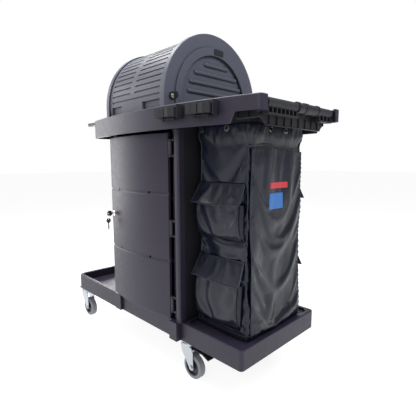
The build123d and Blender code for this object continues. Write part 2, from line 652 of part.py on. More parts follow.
def make_bag_flaps():
    """Stiff pocket flaps that stand off over each pocket."""
    skin = BAG_HALF + 0.3
    with BuildPart() as flaps:
        for bottom, top in FLAPS:
            for side in (-1, 1):
                with BuildSketch(Plane.YZ.offset(BAG_LEFT - 2)):
                    side_profile([(skin, top), (skin + 40, bottom), (skin + 44, bottom + 2),
                                  (skin + 5, top + 5), (skin, top + 5)], side)
                extrude(amount=BAG_RIGHT - BAG_LEFT - 8)
    return flaps


# ------------------------------------------------------------------ hood
def arch(radius, mode=Mode.ADD):
    """The hood's end outline: a half round on straight sides."""
    with BuildLine() as outline:
        curve = CenterArc((0, HOOD_AXIS), radius, 0, 180)
        Polyline(curve @ 1, (-radius, TRAY_TOP - 4), (radius, TRAY_TOP - 4), curve @ 0)
    make_face(outline.edges(), mode=mode)


def arch_slab(side, near, far, outer, inner=None, mode=Mode.ADD):
    """An arch or an arched band between two distances from the hood's middle."""
    with BuildSketch(Plane.YZ.offset(HOOD_MID + side * near)) as section:
        arch(outer)
        if inner:
            arch(inner, Mode.SUBTRACT)
    extrude(section.sketch, amount=side * (far - near), mode=mode)


def ring_sector(inner, outer, start, end, x0, x1, mode=Mode.ADD):
    """Part of a ring about the hood's axis; angles in degrees up from the front."""
    with BuildSketch(Plane.YZ.offset(x0)) as section:
        with BuildLine():
            far = CenterArc((0, HOOD_AXIS), outer, 180 - end, end - start)
            near = CenterArc((0, HOOD_AXIS), inner, 180 - end, end - start)
            Line(far @ 0, near @ 0)
            Line(far @ 1, near @ 1)
        make_face()
    extrude(section.sketch, amount=x1 - x0, mode=mode)


def make_hood_end(side, lock):
    """Arched end: flange, flat band, raised ring, sunk panel with ribs and the shutter's track."""
    radius = HOOD_RADIUS if side > 0 else HOOD_LEFT_RADIUS
    with BuildPart() as end:
        arch_slab(side, HOOD_FLANGE, HOOD_FACE, radius)
        outer_rim = end.faces().sort_by(Axis.X)[-1 if side > 0 else 0].edges()
        fillet(outer_rim.filter_by(GeomType.CIRCLE), 3)
        arch_slab(side, HOOD_FLANGE, HOOD_FACE - 4, radius - HOOD_SKIN, mode=Mode.SUBTRACT)
        arch_slab(side, HOOD_FACE, HOOD_FACE + RING_RAISE, RING_OUTER, RING_INNER)
        arch_slab(side, HOOD_FACE - 4, HOOD_FACE, RING_INNER, mode=Mode.SUBTRACT)
        arch_slab(side, HOOD_FACE - 10, HOOD_FACE - 6, RING_INNER + 4)
        arch_slab(side, HOOD_FACE - 6, HOOD_FACE - 3.9, RING_INNER + 4, RING_INNER)
        panel_x = HOOD_MID + side * (HOOD_FACE - 6)
        for z, half in HOOD_RIBS.items():
            start, finish = RIB_SHIFT - half, RIB_SHIFT + half
            rod_y(panel_x, start, finish, z, RIB_RADIUS)
            with Locations((panel_x, start, z), (panel_x, finish, z)):
                Sphere(RIB_RADIUS)
        low, high = sorted((HOOD_MID + side * 182, HOOD_MID + side * (HOOD_FACE - 3.9)))
        ring_sector(252, 259, -10, 190, low, high)
        if lock:
            face_x = HOOD_MID + HOOD_FACE
            with BuildSketch(Plane((face_x - 40, HOOD_LOCK_Y, HOOD_LOCK_Z), z_dir=(1, 0, 0))):
                Circle(LOCK_CUP_RADIUS)
            extrude(amount=60, mode=Mode.SUBTRACT)
    return end


def make_hood_rear_shell():
    """Fixed quarter shell behind the shutter, with a straight foot."""
    x0, x1 = HOOD_MID - HOOD_FLANGE, HOOD_MID + HOOD_FLANGE
    with BuildPart() as shell:
        ring_sector(SHELL_INNER, SHELL_OUTER, SHELL_START, 180, x0, x1)
        block((x0, SHELL_INNER, TRAY_TOP - 4), (x1, SHELL_OUTER, HOOD_AXIS))
    return shell


def make_hood_shutter():
    """Curved sliding front: slats in two columns, a bottom rail and two hand recesses."""
    x0, x1 = HOOD_MID - SHUTTER_HALF, HOOD_MID + SHUTTER_HALF
    inner = SHUTTER_OUTER - SHUTTER_THICKNESS
    with BuildPart() as shutter:
        ring_sector(inner, SHUTTER_OUTER, SHUTTER_START, SHUTTER_END, x0, x1)
        ring_sector(inner - 6, inner, SHUTTER_START, 1, HOOD_MID - 178, HOOD_MID + 178)
        ring_sector(SHUTTER_OUTER, SHUTTER_OUTER + 1.5, SHUTTER_START, -0.6, -94, 56)
        for a, b in ((-177, -98), (60, 170)):
            ring_sector(inner - 2, SHUTTER_OUTER + 2, -7.6, -1.2, a, b, Mode.SUBTRACT)
        for row in range(SLAT_COUNT):
            cut_slat_row(SLAT_FIRST + SLAT_PITCH * row, row == 0)
    return shutter


def cut_slat_row(angle, whole):
    """One row of shallow grooves; the lowest runs the full width."""
    turn = math.radians(angle)
    out = (0, -math.cos(turn), math.sin(turn))
    columns = [(-177, 170)] if whole else [(-177, -34), (-2, 170)]
    for a, b in columns:
        centre = ((a + b) / 2, SHUTTER_OUTER * out[1], HOOD_AXIS + SHUTTER_OUTER * out[2])
        with BuildSketch(Plane(centre, (1, 0, 0), out)) as groove:
            SlotOverall(b - a, SLAT_GROOVE)
        extrude(groove.sketch, amount=-SLAT_DEPTH, mode=Mode.SUBTRACT)


def make_hood_lock_cup():
    """Black cup in the end face that the lock sits in."""
    face_x = HOOD_MID + HOOD_FACE
    with BuildPart() as cup:
        with BuildSketch(Plane((face_x - 8, HOOD_LOCK_Y, HOOD_LOCK_Z), z_dir=(1, 0, 0))):
            Circle(LOCK_CUP_RADIUS)
            Circle(LOCK_RADIUS + AXLE_CLEARANCE, mode=Mode.SUBTRACT)
        extrude(amount=4)
        with BuildSketch(Plane((face_x - 8, HOOD_LOCK_Y, HOOD_LOCK_Z), z_dir=(1, 0, 0))):
            Circle(LOCK_CUP_RADIUS)
            Circle(LOCK_CUP_RADIUS - 2, mode=Mode.SUBTRACT)
        extrude(amount=13)
    return cup


def hood_lock_plane(out):
    """A plane square to the hood lock, a distance outside the end face."""
    origin = (HOOD_MID + HOOD_FACE + out, HOOD_LOCK_Y, HOOD_LOCK_Z)
    return Plane(origin, (0, 0, 1), (1, 0, 0))


def make_hood_lock():
    """Plug, blade and short cam of the hood lock."""
    with BuildPart() as lock:
        with BuildSketch(hood_lock_plane(-14)):
            Circle(LOCK_RADIUS)
        extrude(amount=18)
        with BuildSketch(hood_lock_plane(-16)):
            with Locations((-2, 0)):
                SlotOverall(24, 10)
        extrude(amount=2)
        with BuildSketch(hood_lock_plane(4)):
            Rectangle(8, 2.2)
        extrude(amount=8)
    return lock


def make_hood_badge():
    """Blank label plate on the raised ring."""
    plate_x = HOOD_MID + HOOD_FACE + RING_RAISE
    with BuildPart() as badge:
        centre_z = HOOD_AXIS + (RING_OUTER + RING_INNER) / 2
        with BuildSketch(Plane((plate_x, BADGE_Y, centre_z), z_dir=(1, 0, 0))):
            RectangleRounded(BADGE_HEIGHT, BADGE_WIDTH, 4)
        extrude(amount=2)
    return badge


# ------------------------------------------------------------------ push handle
def make_handle_bar():
    with BuildPart() as bar:
        rod_y(HANDLE_X, -ARM_INNER, ARM_INNER, HANDLE_Z, BAR_RADIUS)
    return bar


def make_handle_grips():
    """Two ribbed hand grips on the bar."""
    with BuildPart() as grips:
        for y0, y1 in GRIPS:
            rod_y(HANDLE_X, y0, y1, HANDLE_Z, GRIP_RADIUS)
        fillet(grips.edges().filter_by(GeomType.CIRCLE), 3)
        rod_y(HANDLE_X, -ARM_INNER, ARM_INNER, HANDLE_Z, BAR_RADIUS, Mode.SUBTRACT)
    return grips


def make_handle_saddles():
    """Clamp collars that tie the bar back to the tray."""
    with BuildPart() as saddles:
        for y0, y1 in SADDLES:
            rod_y(HANDLE_X, y0, y1, HANDLE_Z, GRIP_RADIUS + 2)
            for edge in (y0, y1 - 10):
                rod_y(HANDLE_X, edge, edge + 10, HANDLE_Z, GRIP_RADIUS + 4)
            block((ARM_ROOT, y0 + 6, HANDLE_Z - 12), (HANDLE_X, y1 - 6, HANDLE_Z + 8))
        rod_y(HANDLE_X, -ARM_INNER, ARM_INNER, HANDLE_Z, BAR_RADIUS, Mode.SUBTRACT)
    return saddles


def make_handle_comb():
    """Finger comb under each grip: a row of ribs on a rail."""
    with BuildPart() as comb:
        for y0, y1 in ((-208.0, -36.0), (118.0, 208.0)):
            block((COMB_ROOT, y0, 1018), (HANDLE_X + 12, y1, 1024))
            count = int((y1 - y0) // 24) + 1
            pitch = (y1 - y0 - 6) / (count - 1)
            for index in range(count):
                y = y0 + pitch * index
                block((COMB_ROOT, y, 1024), (HANDLE_X + 10, y + 6, HANDLE_Z - GRIP_RADIUS - 0.3))
    return comb


# ------------------------------------------------------------------ tool clips
def clip_frame(name):
    """Centre of a clip on the bowed skirt and the skirt's outward turn there."""
    x = CLIP_CENTRES[name]
    turn = math.asin((x - TRAY_MID) / TRAY_BOW_RADIUS)
    y = -TRAY_BOW_HALF + TRAY_BOW_RADIUS * (1 - math.cos(turn))
    return x, y, turn


def clip_plane(name, height):
    """Horizontal plane at a clip: local X runs along the skirt, local Y straight out of it."""
    x, y, turn = clip_frame(name)
    along = (math.cos(turn), math.sin(turn), 0)
    return Plane((x, y, height), along, (0, 0, -1))


def clip_prism(name, corners, z0, z1, mode=Mode.ADD):
    """An upright prism on clip axes."""
    with BuildSketch(clip_plane(name, z1)) as section:
        with BuildLine():
            Polyline(*corners, close=True)
        make_face()
    extrude(section.sketch, amount=z1 - z0, mode=mode)


def clip_rod(name, along, out, z0, z1, radius, mode=Mode.ADD):
    """An upright round bar on clip axes."""
    with BuildSketch(clip_plane(name, z1)) as section:
        with Locations((along, out)):
            Circle(radius)
    extrude(section.sketch, amount=z1 - z0, mode=mode)


def clip_panel(name, start, end, out, z0, z1):
    """A rectangular piece of a clip that stands out from the skirt."""
    clip_prism(name, [(start, 2), (end, 2), (end, out), (start, out)], z0, z1)


def make_clip_plates():
    """Back plates with a side cheek and a shelf under the jaws."""
    low, high = CLIP_Z - 22, CLIP_Z + 20
    with BuildPart() as plates:
        for name in CLIP_CENTRES:
            clip_panel(name, -CLIP_HALF, CLIP_HALF, 5, low, high)
            clip_panel(name, CLIP_HALF - 3, CLIP_HALF, 34, low, high + 4)
            clip_panel(name, -36, 36, 26, low, low + 3)
    return plates


def make_clip_pins():
    """Pivot pins of the jaws, standing in the shelf."""
    with BuildPart() as pins:
        for name in CLIP_CENTRES:
            for side in (-1, 1):
                along = side * JAW_PIVOT
                clip_rod(name, along, JAW_PIVOT_OUT, CLIP_Z - 19, CLIP_Z + 20, JAW_PIN_RADIUS)
                clip_rod(name, along, JAW_PIVOT_OUT, CLIP_Z - 27, CLIP_Z - 22, JAW_PIN_RADIUS + 1)
    return pins


def make_clip_jaw(name, side):
    """Ribbed rubber jaw round its pivot pin."""
    low, high = CLIP_Z - JAW_HALF, CLIP_Z + JAW_HALF
    with BuildPart() as jaw:
        clip_rod(name, side * JAW_PIVOT, JAW_PIVOT_OUT, low, high, 10)
        corners = [(13, 16), (47, 22), (50, 30), (47, 40), (24, CLIP_REACH), (2, 40), (2, 30), (13, 24)]
        clip_prism(name, [(side * a, b) for a, b in corners], low, high)
        for step in range(5):
            along, out = side * (24 + 4.6 * step), CLIP_REACH - 0.3 * step
            clip_rod(name, along, out, low - 1, high + 1, 1.2, Mode.SUBTRACT)
        clip_rod(name, side * JAW_PIVOT, JAW_PIVOT_OUT, low - 1, high + 1,
                 JAW_PIN_RADIUS + AXLE_CLEARANCE, Mode.SUBTRACT)
    return jaw


# ------------------------------------------------------------------ keys
def ring_centre():
    """Centre of the ring that hangs in the hole of the door key's head."""
    hole = lock_plane(KEY_HEAD_START + KEY_HOLE).origin
    return hole.X, hole.Y, hole.Z - 0.8 - RING_RADIUS


def make_key_ring():
    """Split ring through the door key's head."""
    with BuildPart() as ring:
        with Locations(Location(ring_centre(), (90, 0, 0))):
            Torus(RING_RADIUS, RING_WIRE)
    return ring


def make_spare_key():
    """Second key hanging on the ring, blade down."""
    x, y, z = ring_centre()
    hole = z - RING_RADIUS - 0.8
    with BuildPart() as key:
        with BuildSketch(Plane.YZ.offset(x - 1.3)):
            with Locations((y, hole - 7)):
                Ellipse(12, 12)
            with Locations((y, hole - 19 - 14)):
                Rectangle(7, 32)
            with Locations((y, hole)):
                Circle(2.4, mode=Mode.SUBTRACT)
        extrude(amount=2.6)
    return key


def main():
    os.makedirs("parts", exist_ok=True)
    save(make_base_deck(), "base_deck")
    save(make_caster_plates(), "caster_plates")
    save(make_caster_bolts(), "caster_bolts")
    for name, (x, y) in CASTERS.items():
        save(make_fork(x, y, name in BRAKED), f"caster_fork_{name}")
        save(make_axle(x, y), f"caster_axle_{name}")
        save(make_hub(x, y), f"wheel_hub_{name}")
        save(make_tyre(x, y), f"wheel_tyre_{name}")
        if name in BRAKED:
            save(make_pedal(x, y), f"brake_pedal_{name}")
    save(make_side_left(), "cabinet_side_left")
    save(make_side_right(), "cabinet_side_right")
    save(make_back(), "cabinet_back")
    save(make_hinge_column(), "hinge_column")
    save(make_latch_column(), "latch_column")
    save(make_shelves(), "cabinet_shelves")
    save(make_cabinet_door(), "cabinet_door")
    save(make_hinge_pins(), "door_hinge_pins")
    save(make_door_lock(), "door_lock")
    save(make_key_head(lock_plane(KEY_HEAD_START)), "door_key_head")
    save(make_key_ring(), "key_ring")
    save(make_spare_key(), "spare_key")
    save(make_counter_tray(), "counter_tray")
    save(make_ribbed_skirt(), "ribbed_skirt")
    save(make_bag(), "bag")
    save(make_bag_eyelets(), "bag_eyelets")
    save(make_bag_collar(), "bag_collar")
    save(make_bag_hooks(), "bag_hooks")
    save(make_bag_pockets(), "bag_pockets")
    save(make_bag_flaps(), "bag_flaps")
    save(make_hood_end(1, True), "hood_end_right")
    save(make_hood_end(-1, False), "hood_end_left")
    save(make_hood_rear_shell(), "hood_rear_shell")
    save(make_hood_shutter(), "hood_shutter")
    save(make_hood_lock_cup(), "hood_lock_cup")
    save(make_hood_lock(), "hood_lock")
    save(make_key_head(hood_lock_plane(12.3)), "hood_key_head")
    save(make_hood_badge(), "hood_badge")
    save(make_handle_bar(), "handle_bar")
    save(make_handle_grips(), "handle_grips")
    save(make_handle_saddles(), "handle_saddles")
    save(make_handle_comb(), "handle_comb")
    save(make_clip_plates(), "clip_plates")
    save(make_clip_pins(), "clip_pins")
    for name in CLIP_CENTRES:
        for label, side in (("a", -1), ("b", 1)):
            save(make_clip_jaw(name, side), f"clip_jaw_{name}_{label}")


main()
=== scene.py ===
import math

import bpy
from mathutils import Matrix, Vector, noise
from mathutils.bvhtree import BVHTree


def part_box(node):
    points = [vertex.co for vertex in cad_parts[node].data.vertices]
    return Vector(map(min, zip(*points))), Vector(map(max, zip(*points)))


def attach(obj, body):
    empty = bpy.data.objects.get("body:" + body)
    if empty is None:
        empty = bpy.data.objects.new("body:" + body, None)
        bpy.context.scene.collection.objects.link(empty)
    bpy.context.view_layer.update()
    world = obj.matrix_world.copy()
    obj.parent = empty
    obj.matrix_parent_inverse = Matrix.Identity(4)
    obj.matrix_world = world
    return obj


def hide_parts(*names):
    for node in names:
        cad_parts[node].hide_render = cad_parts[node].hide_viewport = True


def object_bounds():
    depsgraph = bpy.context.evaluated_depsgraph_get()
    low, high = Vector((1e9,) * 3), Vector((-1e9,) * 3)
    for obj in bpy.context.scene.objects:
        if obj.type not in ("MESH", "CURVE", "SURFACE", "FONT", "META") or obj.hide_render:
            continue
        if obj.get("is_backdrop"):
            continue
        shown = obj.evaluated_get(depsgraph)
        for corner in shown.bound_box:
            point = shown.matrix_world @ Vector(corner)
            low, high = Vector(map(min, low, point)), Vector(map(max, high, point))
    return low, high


bl_info = {
    "name": "Hooded housekeeping cart",
    "version": (1, 0, 0),
    "blender": (4, 5, 0),
    "location": "3D View > Sidebar > Cart",
    "description": "Finishes and soft goods of a hooded housekeeping cart on its CAD frame",
    "category": "Object",
}

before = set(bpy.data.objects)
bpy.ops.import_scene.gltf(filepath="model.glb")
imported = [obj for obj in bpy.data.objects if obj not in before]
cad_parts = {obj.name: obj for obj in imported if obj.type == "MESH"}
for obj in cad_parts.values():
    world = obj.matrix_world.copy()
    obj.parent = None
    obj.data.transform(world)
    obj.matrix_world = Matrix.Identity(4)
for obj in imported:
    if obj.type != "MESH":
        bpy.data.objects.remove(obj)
CART = "cart"
MILLIMETRE = 0.001


def linear(code):
    """An sRGB hex colour as linear red, green, blue and alpha."""
    parts = [int(code[i:i + 2], 16) / 255 for i in (0, 2, 4)]
    curved = [c / 12.92 if c <= 0.04045 else ((c + 0.055) / 1.055) ** 2.4 for c in parts]
    return (*curved, 1.0)


def dimmed(colour, share):
    """A colour made darker or lighter by a share, its alpha kept."""
    return (*[c * share for c in colour[:3]], 1.0)


# ---------------------------------------------------------------- settings
def colour_setting(title, description, code):
    """A colour that the sidebar shows, with its default from a hex code."""
    return bpy.props.FloatVectorProperty(
        name=title, description=description, subtype="COLOR", size=4, min=0, max=1,
        default=linear(code))


def length_setting(title, description, size):
    """A length that the sidebar shows, in metres."""
    return bpy.props.FloatProperty(
        name=title, description=description, unit="LENGTH", precision=4, min=0, default=size)


class CartColours(bpy.types.PropertyGroup):
    """Colours of the cart's plastics, metals and cloth."""

    body: colour_setting("Body plastic", "Deck, cabinet and tray mouldings", "292434")
    hood: colour_setting("Hood plastic", "Hood ends, rear shell and shutter", "53545F")
    trim: colour_setting("Trim plastic", "Columns, handle and fittings", "1D1D22")
    bag: colour_setting("Bag cloth", "Coated cloth of the laundry bag", "0E1222")
    binding: colour_setting("Bag binding", "Piping and hem tape", "2A2E38")
    tyre: colour_setting("Tyre rubber", "Non-marking tread", "808187")
    hub: colour_setting("Wheel hub", "Moulded wheel cores", "303138")
    zinc: colour_setting("Zinc plate", "Pressed caster steel", "C3C8CE")
    nickel: colour_setting("Nickel plate", "Locks, keys and eyelets", "D5CFC4")
    print_blue: colour_setting("Print, first ink", "Plain patch on the bag's end panel", "2F6FB5")
    print_red: colour_setting("Print, second ink", "Plain bar above the patch", "C8323C")


class BagSizes(bpy.types.PropertyGroup):
    """Sizes of the laundry bag's cloth and of its sewn details."""

    cloth: length_setting("Cloth thickness", "Thickness of the coated cloth", 0.001)
    slack: bpy.props.FloatProperty(
        name="Slack", description="Share of spare cloth that gathers into folds",
        subtype="FACTOR", min=0, max=0.2, default=0.032)
    fold: length_setting("Fold depth", "How far folds stand proud of the flat panel", 0.009)
    sag: length_setting("Fold hollow", "How far the cloth sinks between folds", 0.013)
    bulge: length_setting("Pocket depth", "How far a pocket stands off the bag", 0.028)
    lift: length_setting("Flap lift", "How far a flap's free edge stands off the bag", 0.041)
    piping: length_setting("Piping radius", "Radius of the corner piping", 0.0022)
    hem: length_setting("Hem height", "Height of the doubled cloth round the bottom", 0.021)


class StageSettings(bpy.types.PropertyGroup):
    """Lights and floor of the studio."""

    key: bpy.props.FloatProperty(
        name="Key light", description="Power of the large light at the front left",
        subtype="POWER", unit="POWER", min=0, default=10)
    fill: bpy.props.FloatProperty(
        name="Fill light", description="Power of the cool light on the right",
        subtype="POWER", unit="POWER", min=0, default=42)
    top: bpy.props.FloatProperty(
        name="Top light", description="Power of the light above the cart",
        subtype="POWER", unit="POWER", min=0, default=115)
    side: bpy.props.FloatProperty(
        name="Side light", description="Power of the tall light at the far left",
        subtype="POWER", unit="POWER", min=0, default=55)
    front: bpy.props.FloatProperty(
        name="Front light", description="Power of the light in front of the bag",
        subtype="POWER", unit="POWER", min=0, default=22)
    rim: bpy.props.FloatProperty(
        name="Rim light", description="Power of the low light behind the cart's left end",
        subtype="POWER", unit="POWER", min=0, default=140)
    sky: bpy.props.FloatProperty(
        name="Room light", description="Share of white light that the surroundings give",
        min=0, max=1, default=0.36)
    glow: bpy.props.FloatProperty(
        name="Floor glow", description="Light of the evenly lit white floor", min=0, default=0.86)
    floor: colour_setting("Floor", "Colour of the plain floor", "8C8C8C")


# ---------------------------------------------------------------- finishes
def add_node(tree, kind, links=None, values=None, **settings):
    """Add one shader node, set its properties and sockets, and link its inputs."""
    node = tree.nodes.new(kind)
    for name, value in settings.items():
        setattr(node, name, value)
    for socket, value in (values or {}).items():
        node.inputs[socket].default_value = value
    for socket, source in (links or {}).items():
        tree.links.new(source, node.inputs[socket])
    return node


def start_finish(name, **sockets):
    """A new material, its node tree and its shader with some sockets set."""
    material = bpy.data.materials.new(name)
    material.use_nodes = True
    tree = material.node_tree
    shader = tree.nodes["Principled BSDF"]
    for socket, value in sockets.items():
        shader.inputs[socket.replace("_", " ")].default_value = value
    return material, tree, shader


def rounded_edges(tree, radius):
    """The normal of a surface whose sharp edges are rounded to a radius."""
    bevel = add_node(tree, "ShaderNodeBevel", samples=4, values={"Radius": radius})
    return bevel.outputs["Normal"]


def rubbed_edges(tree, rounded):
    """A mask that is 1 along rounded edges and 0 on the faces between them."""
    flat = add_node(tree, "ShaderNodeNewGeometry")
    turn = add_node(tree, "ShaderNodeVectorMath", operation="DOT_PRODUCT",
                    links={0: rounded, 1: flat.outputs["True Normal"]})
    mask = add_node(tree, "ShaderNodeMapRange", links={"Value": turn.outputs["Value"]},
                    values={"From Min": 0.985, "From Max": 0.86, "To Min": 0.0, "To Max": 1.0})
    return mask.outputs["Result"]


def moulded_plastic(name, colour, roughness=0.42, grain_mm=1.6, grain_depth_mm=0.05,
                    edge_mm=1.5, wear=0.35):
    """Injection-moulded ABS: grain dulls the gloss, edges rub pale, recesses get painted shade."""
    material, tree, shader = start_finish(name, IOR=1.5, Specular_IOR_Level=0.42)
    place = add_node(tree, "ShaderNodeTexCoord").outputs["Object"]
    rounded = rounded_edges(tree, edge_mm * MILLIMETRE)
    edges = rubbed_edges(tree, rounded)
    # Flow marks 150 mm across shade the panels very slightly.
    flow = add_node(tree, "ShaderNodeTexNoise", links={"Vector": place},
                    values={"Scale": 1 / 0.15, "Detail": 4, "Roughness": 0.55})
    base = add_node(tree, "ShaderNodeMix", data_type="RGBA",
                    links={"Factor": flow.outputs["Fac"]},
                    values={"A": dimmed(colour, 0.88), "B": dimmed(colour, 1.12)})
    scuffs = add_node(tree, "ShaderNodeTexNoise", links={"Vector": place},
                      values={"Scale": 1 / 0.02, "Detail": 6, "Roughness": 0.7})
    rub = add_node(tree, "ShaderNodeMath", operation="MULTIPLY",
                   links={0: edges, 1: scuffs.outputs["Fac"]})
    worn = add_node(tree, "ShaderNodeMath", operation="MULTIPLY",
                    links={0: rub.outputs["Value"]}, values={1: wear})
    shade = add_node(tree, "ShaderNodeMix", data_type="RGBA",
                     links={"Factor": worn.outputs["Value"], "A": base.outputs["Result"]},
                     values={"B": dimmed(colour, 2.6)})
    # Painted shade: grooves narrower than 14 mm are painted darker than the faces beside them.
    recess = add_node(tree, "ShaderNodeAmbientOcclusion", samples=8, only_local=True,
                      values={"Distance": 14 * MILLIMETRE})
    depth = add_node(tree, "ShaderNodeMapRange", links={"Value": recess.outputs["AO"]},
                     values={"From Min": 0.45, "From Max": 0.9, "To Min": 0.85, "To Max": 0.0})
    recess_shade = add_node(tree, "ShaderNodeMix", data_type="RGBA",
                     links={"Factor": depth.outputs["Result"], "A": shade.outputs["Result"]},
                     values={"B": dimmed(colour, 0.15)})
    tree.links.new(recess_shade.outputs["Result"], shader.inputs["Base Color"])
    gloss = add_node(tree, "ShaderNodeMapRange", links={"Value": scuffs.outputs["Fac"]},
                     values={"From Min": 0.3, "From Max": 0.7, "To Min": roughness - 0.05,
                             "To Max": roughness + 0.07})
    tree.links.new(gloss.outputs["Result"], shader.inputs["Roughness"])
    # The grain is drawn coarser than its real 0.5 mm, so that it shows.
    grain = add_node(tree, "ShaderNodeTexVoronoi", links={"Vector": place},
                     values={"Scale": 1 / (grain_mm * MILLIMETRE)})
    bump = add_node(tree, "ShaderNodeBump",
                    links={"Height": grain.outputs["Distance"], "Normal": rounded},
                    values={"Strength": 0.35, "Distance": grain_depth_mm * MILLIMETRE})
    tree.links.new(bump.outputs["Normal"], shader.inputs["Normal"])
    return material


def plated_metal(name, colour, roughness, brush_mm=0.8, brush_depth_mm=0.01, stain=0.25):
    """Plated steel or brass: bright, with rolling marks and faint cloudy stains in the plate."""
    material, tree, shader = start_finish(name, Metallic=1.0)
    place = add_node(tree, "ShaderNodeTexCoord").outputs["Object"]
    rounded = rounded_edges(tree, 0.5 * MILLIMETRE)
    cloud = add_node(tree, "ShaderNodeTexNoise", links={"Vector": place},
                     values={"Scale": 1 / 0.012, "Detail": 5, "Roughness": 0.6})
    dull = add_node(tree, "ShaderNodeMath", operation="MULTIPLY",
                    links={0: cloud.outputs["Fac"]}, values={1: stain})
    shade = add_node(tree, "ShaderNodeMix", data_type="RGBA",
                     links={"Factor": dull.outputs["Value"]},
                     values={"A": colour, "B": dimmed(colour, 0.45)})
    tree.links.new(shade.outputs["Result"], shader.inputs["Base Color"])
    stretched = add_node(tree, "ShaderNodeMapping", links={"Vector": place},
                         values={"Scale": (1, 1, 0.08)})
    marks = add_node(tree, "ShaderNodeTexNoise",
                     links={"Vector": stretched.outputs["Vector"]},
                     values={"Scale": 1 / (brush_mm * MILLIMETRE), "Detail": 3})
    gloss = add_node(tree, "ShaderNodeMapRange", links={"Value": marks.outputs["Fac"]},
                     values={"To Min": roughness - 0.07, "To Max": roughness + 0.1})
    tree.links.new(gloss.outputs["Result"], shader.inputs["Roughness"])
    bump = add_node(tree, "ShaderNodeBump",
                    links={"Height": marks.outputs["Fac"], "Normal": rounded},
                    values={"Strength": 0.3, "Distance": brush_depth_mm * MILLIMETRE})
    tree.links.new(bump.outputs["Normal"], shader.inputs["Normal"])
    return material


def moulded_rubber(name, colour, roughness, rib_mm=0.0):
    """Soft moulded rubber: matt, dusty in its hollows, ribbed where fingers or tools grip it."""
    material, tree, shader = start_finish(name, IOR=1.5)
    place = add_node(tree, "ShaderNodeTexCoord").outputs["Object"]
    rounded = rounded_edges(tree, 1.2 * MILLIMETRE)
    dust = add_node(tree, "ShaderNodeTexNoise", links={"Vector": place},
                    values={"Scale": 1 / 0.008, "Detail": 6, "Roughness": 0.65})
    shade = add_node(tree, "ShaderNodeMix", data_type="RGBA",
                     links={"Factor": dust.outputs["Fac"]},
                     values={"A": dimmed(colour, 0.82), "B": dimmed(colour, 1.2)})
    tree.links.new(shade.outputs["Result"], shader.inputs["Base Color"])
    gloss = add_node(tree, "ShaderNodeMapRange", links={"Value": dust.outputs["Fac"]},
                     values={"To Min": roughness - 0.08, "To Max": roughness + 0.1})
    tree.links.new(gloss.outputs["Result"], shader.inputs["Roughness"])
    height = dust.outputs["Fac"]
    depth = 0.05
    if rib_mm:
        ribs = add_node(tree, "ShaderNodeTexWave", wave_type="BANDS", bands_direction="X",
                        links={"Vector": place},
                        values={"Scale": 1 / (rib_mm * MILLIMETRE * 20), "Distortion": 0})
        height, depth = ribs.outputs["Fac"], 0.6
    bump = add_node(tree, "ShaderNodeBump", links={"Height": height, "Normal": rounded},
                    values={"Strength": 0.6, "Distance": depth * MILLIMETRE})
    tree.links.new(bump.outputs["Normal"], shader.inputs["Normal"])
    return material


def coated_cloth(name, colour, thread_mm=2.4, roughness=0.34, coat=0.3):
    """PVC-coated polyester: a woven base shows through a soft, slightly wet-looking coat."""
    material, tree, shader = start_finish(
        name, IOR=1.5, Specular_IOR_Level=0.3, Coat_Weight=coat, Coat_Roughness=0.2)
    across = add_node(tree, "ShaderNodeUVMap", uv_map="weave").outputs["UV"]
    place = add_node(tree, "ShaderNodeTexCoord").outputs["Object"]
    # Real threads are about 0.5 mm apart; they are drawn coarser so that they show.
    threads = []
    for direction in ("X", "Y"):
        wave = add_node(tree, "ShaderNodeTexWave", wave_type="BANDS",
                        bands_direction=direction, links={"Vector": across},
                        values={"Scale": 1 / (thread_mm * MILLIMETRE * 20), "Distortion": 0.4,
                                "Detail": 1.0})
        threads.append(wave.outputs["Fac"])
    weave = add_node(tree, "ShaderNodeMath", operation="MULTIPLY",
                     links={0: threads[0], 1: threads[1]})
    creases = add_node(tree, "ShaderNodeTexNoise", links={"Vector": place},
                       values={"Scale": 1 / 0.06, "Detail": 4, "Roughness": 0.55,
                               "Distortion": 1.2})
    handled = add_node(tree, "ShaderNodeTexNoise", links={"Vector": place},
                       values={"Scale": 1 / 0.11, "Detail": 4, "Roughness": 0.6})
    shade = add_node(tree, "ShaderNodeMix", data_type="RGBA",
                     links={"Factor": handled.outputs["Fac"]},
                     values={"A": dimmed(colour, 0.8), "B": dimmed(colour, 1.25)})
    lit = add_node(tree, "ShaderNodeMix", data_type="RGBA", blend_type="MULTIPLY",
                   links={"A": shade.outputs["Result"], "B": weave.outputs["Value"]},
                   values={"Factor": 0.12})
    tree.links.new(lit.outputs["Result"], shader.inputs["Base Color"])
    gloss = add_node(tree, "ShaderNodeMapRange", links={"Value": handled.outputs["Fac"]},
                     values={"From Min": 0.3, "From Max": 0.7, "To Min": roughness - 0.08,
                             "To Max": roughness + 0.12})
    tree.links.new(gloss.outputs["Result"], shader.inputs["Roughness"])
    soft = add_node(tree, "ShaderNodeBump", links={"Height": creases.outputs["Fac"]},
                    values={"Strength": 0.7, "Distance": 3 * MILLIMETRE})
    bump = add_node(tree, "ShaderNodeBump",
                    links={"Height": weave.outputs["Value"], "Normal": soft.outputs["Normal"]},
                    values={"Strength": 0.25, "Distance": 0.15 * MILLIMETRE})
    tree.links.new(bump.outputs["Normal"], shader.inputs["Normal"])
    return material


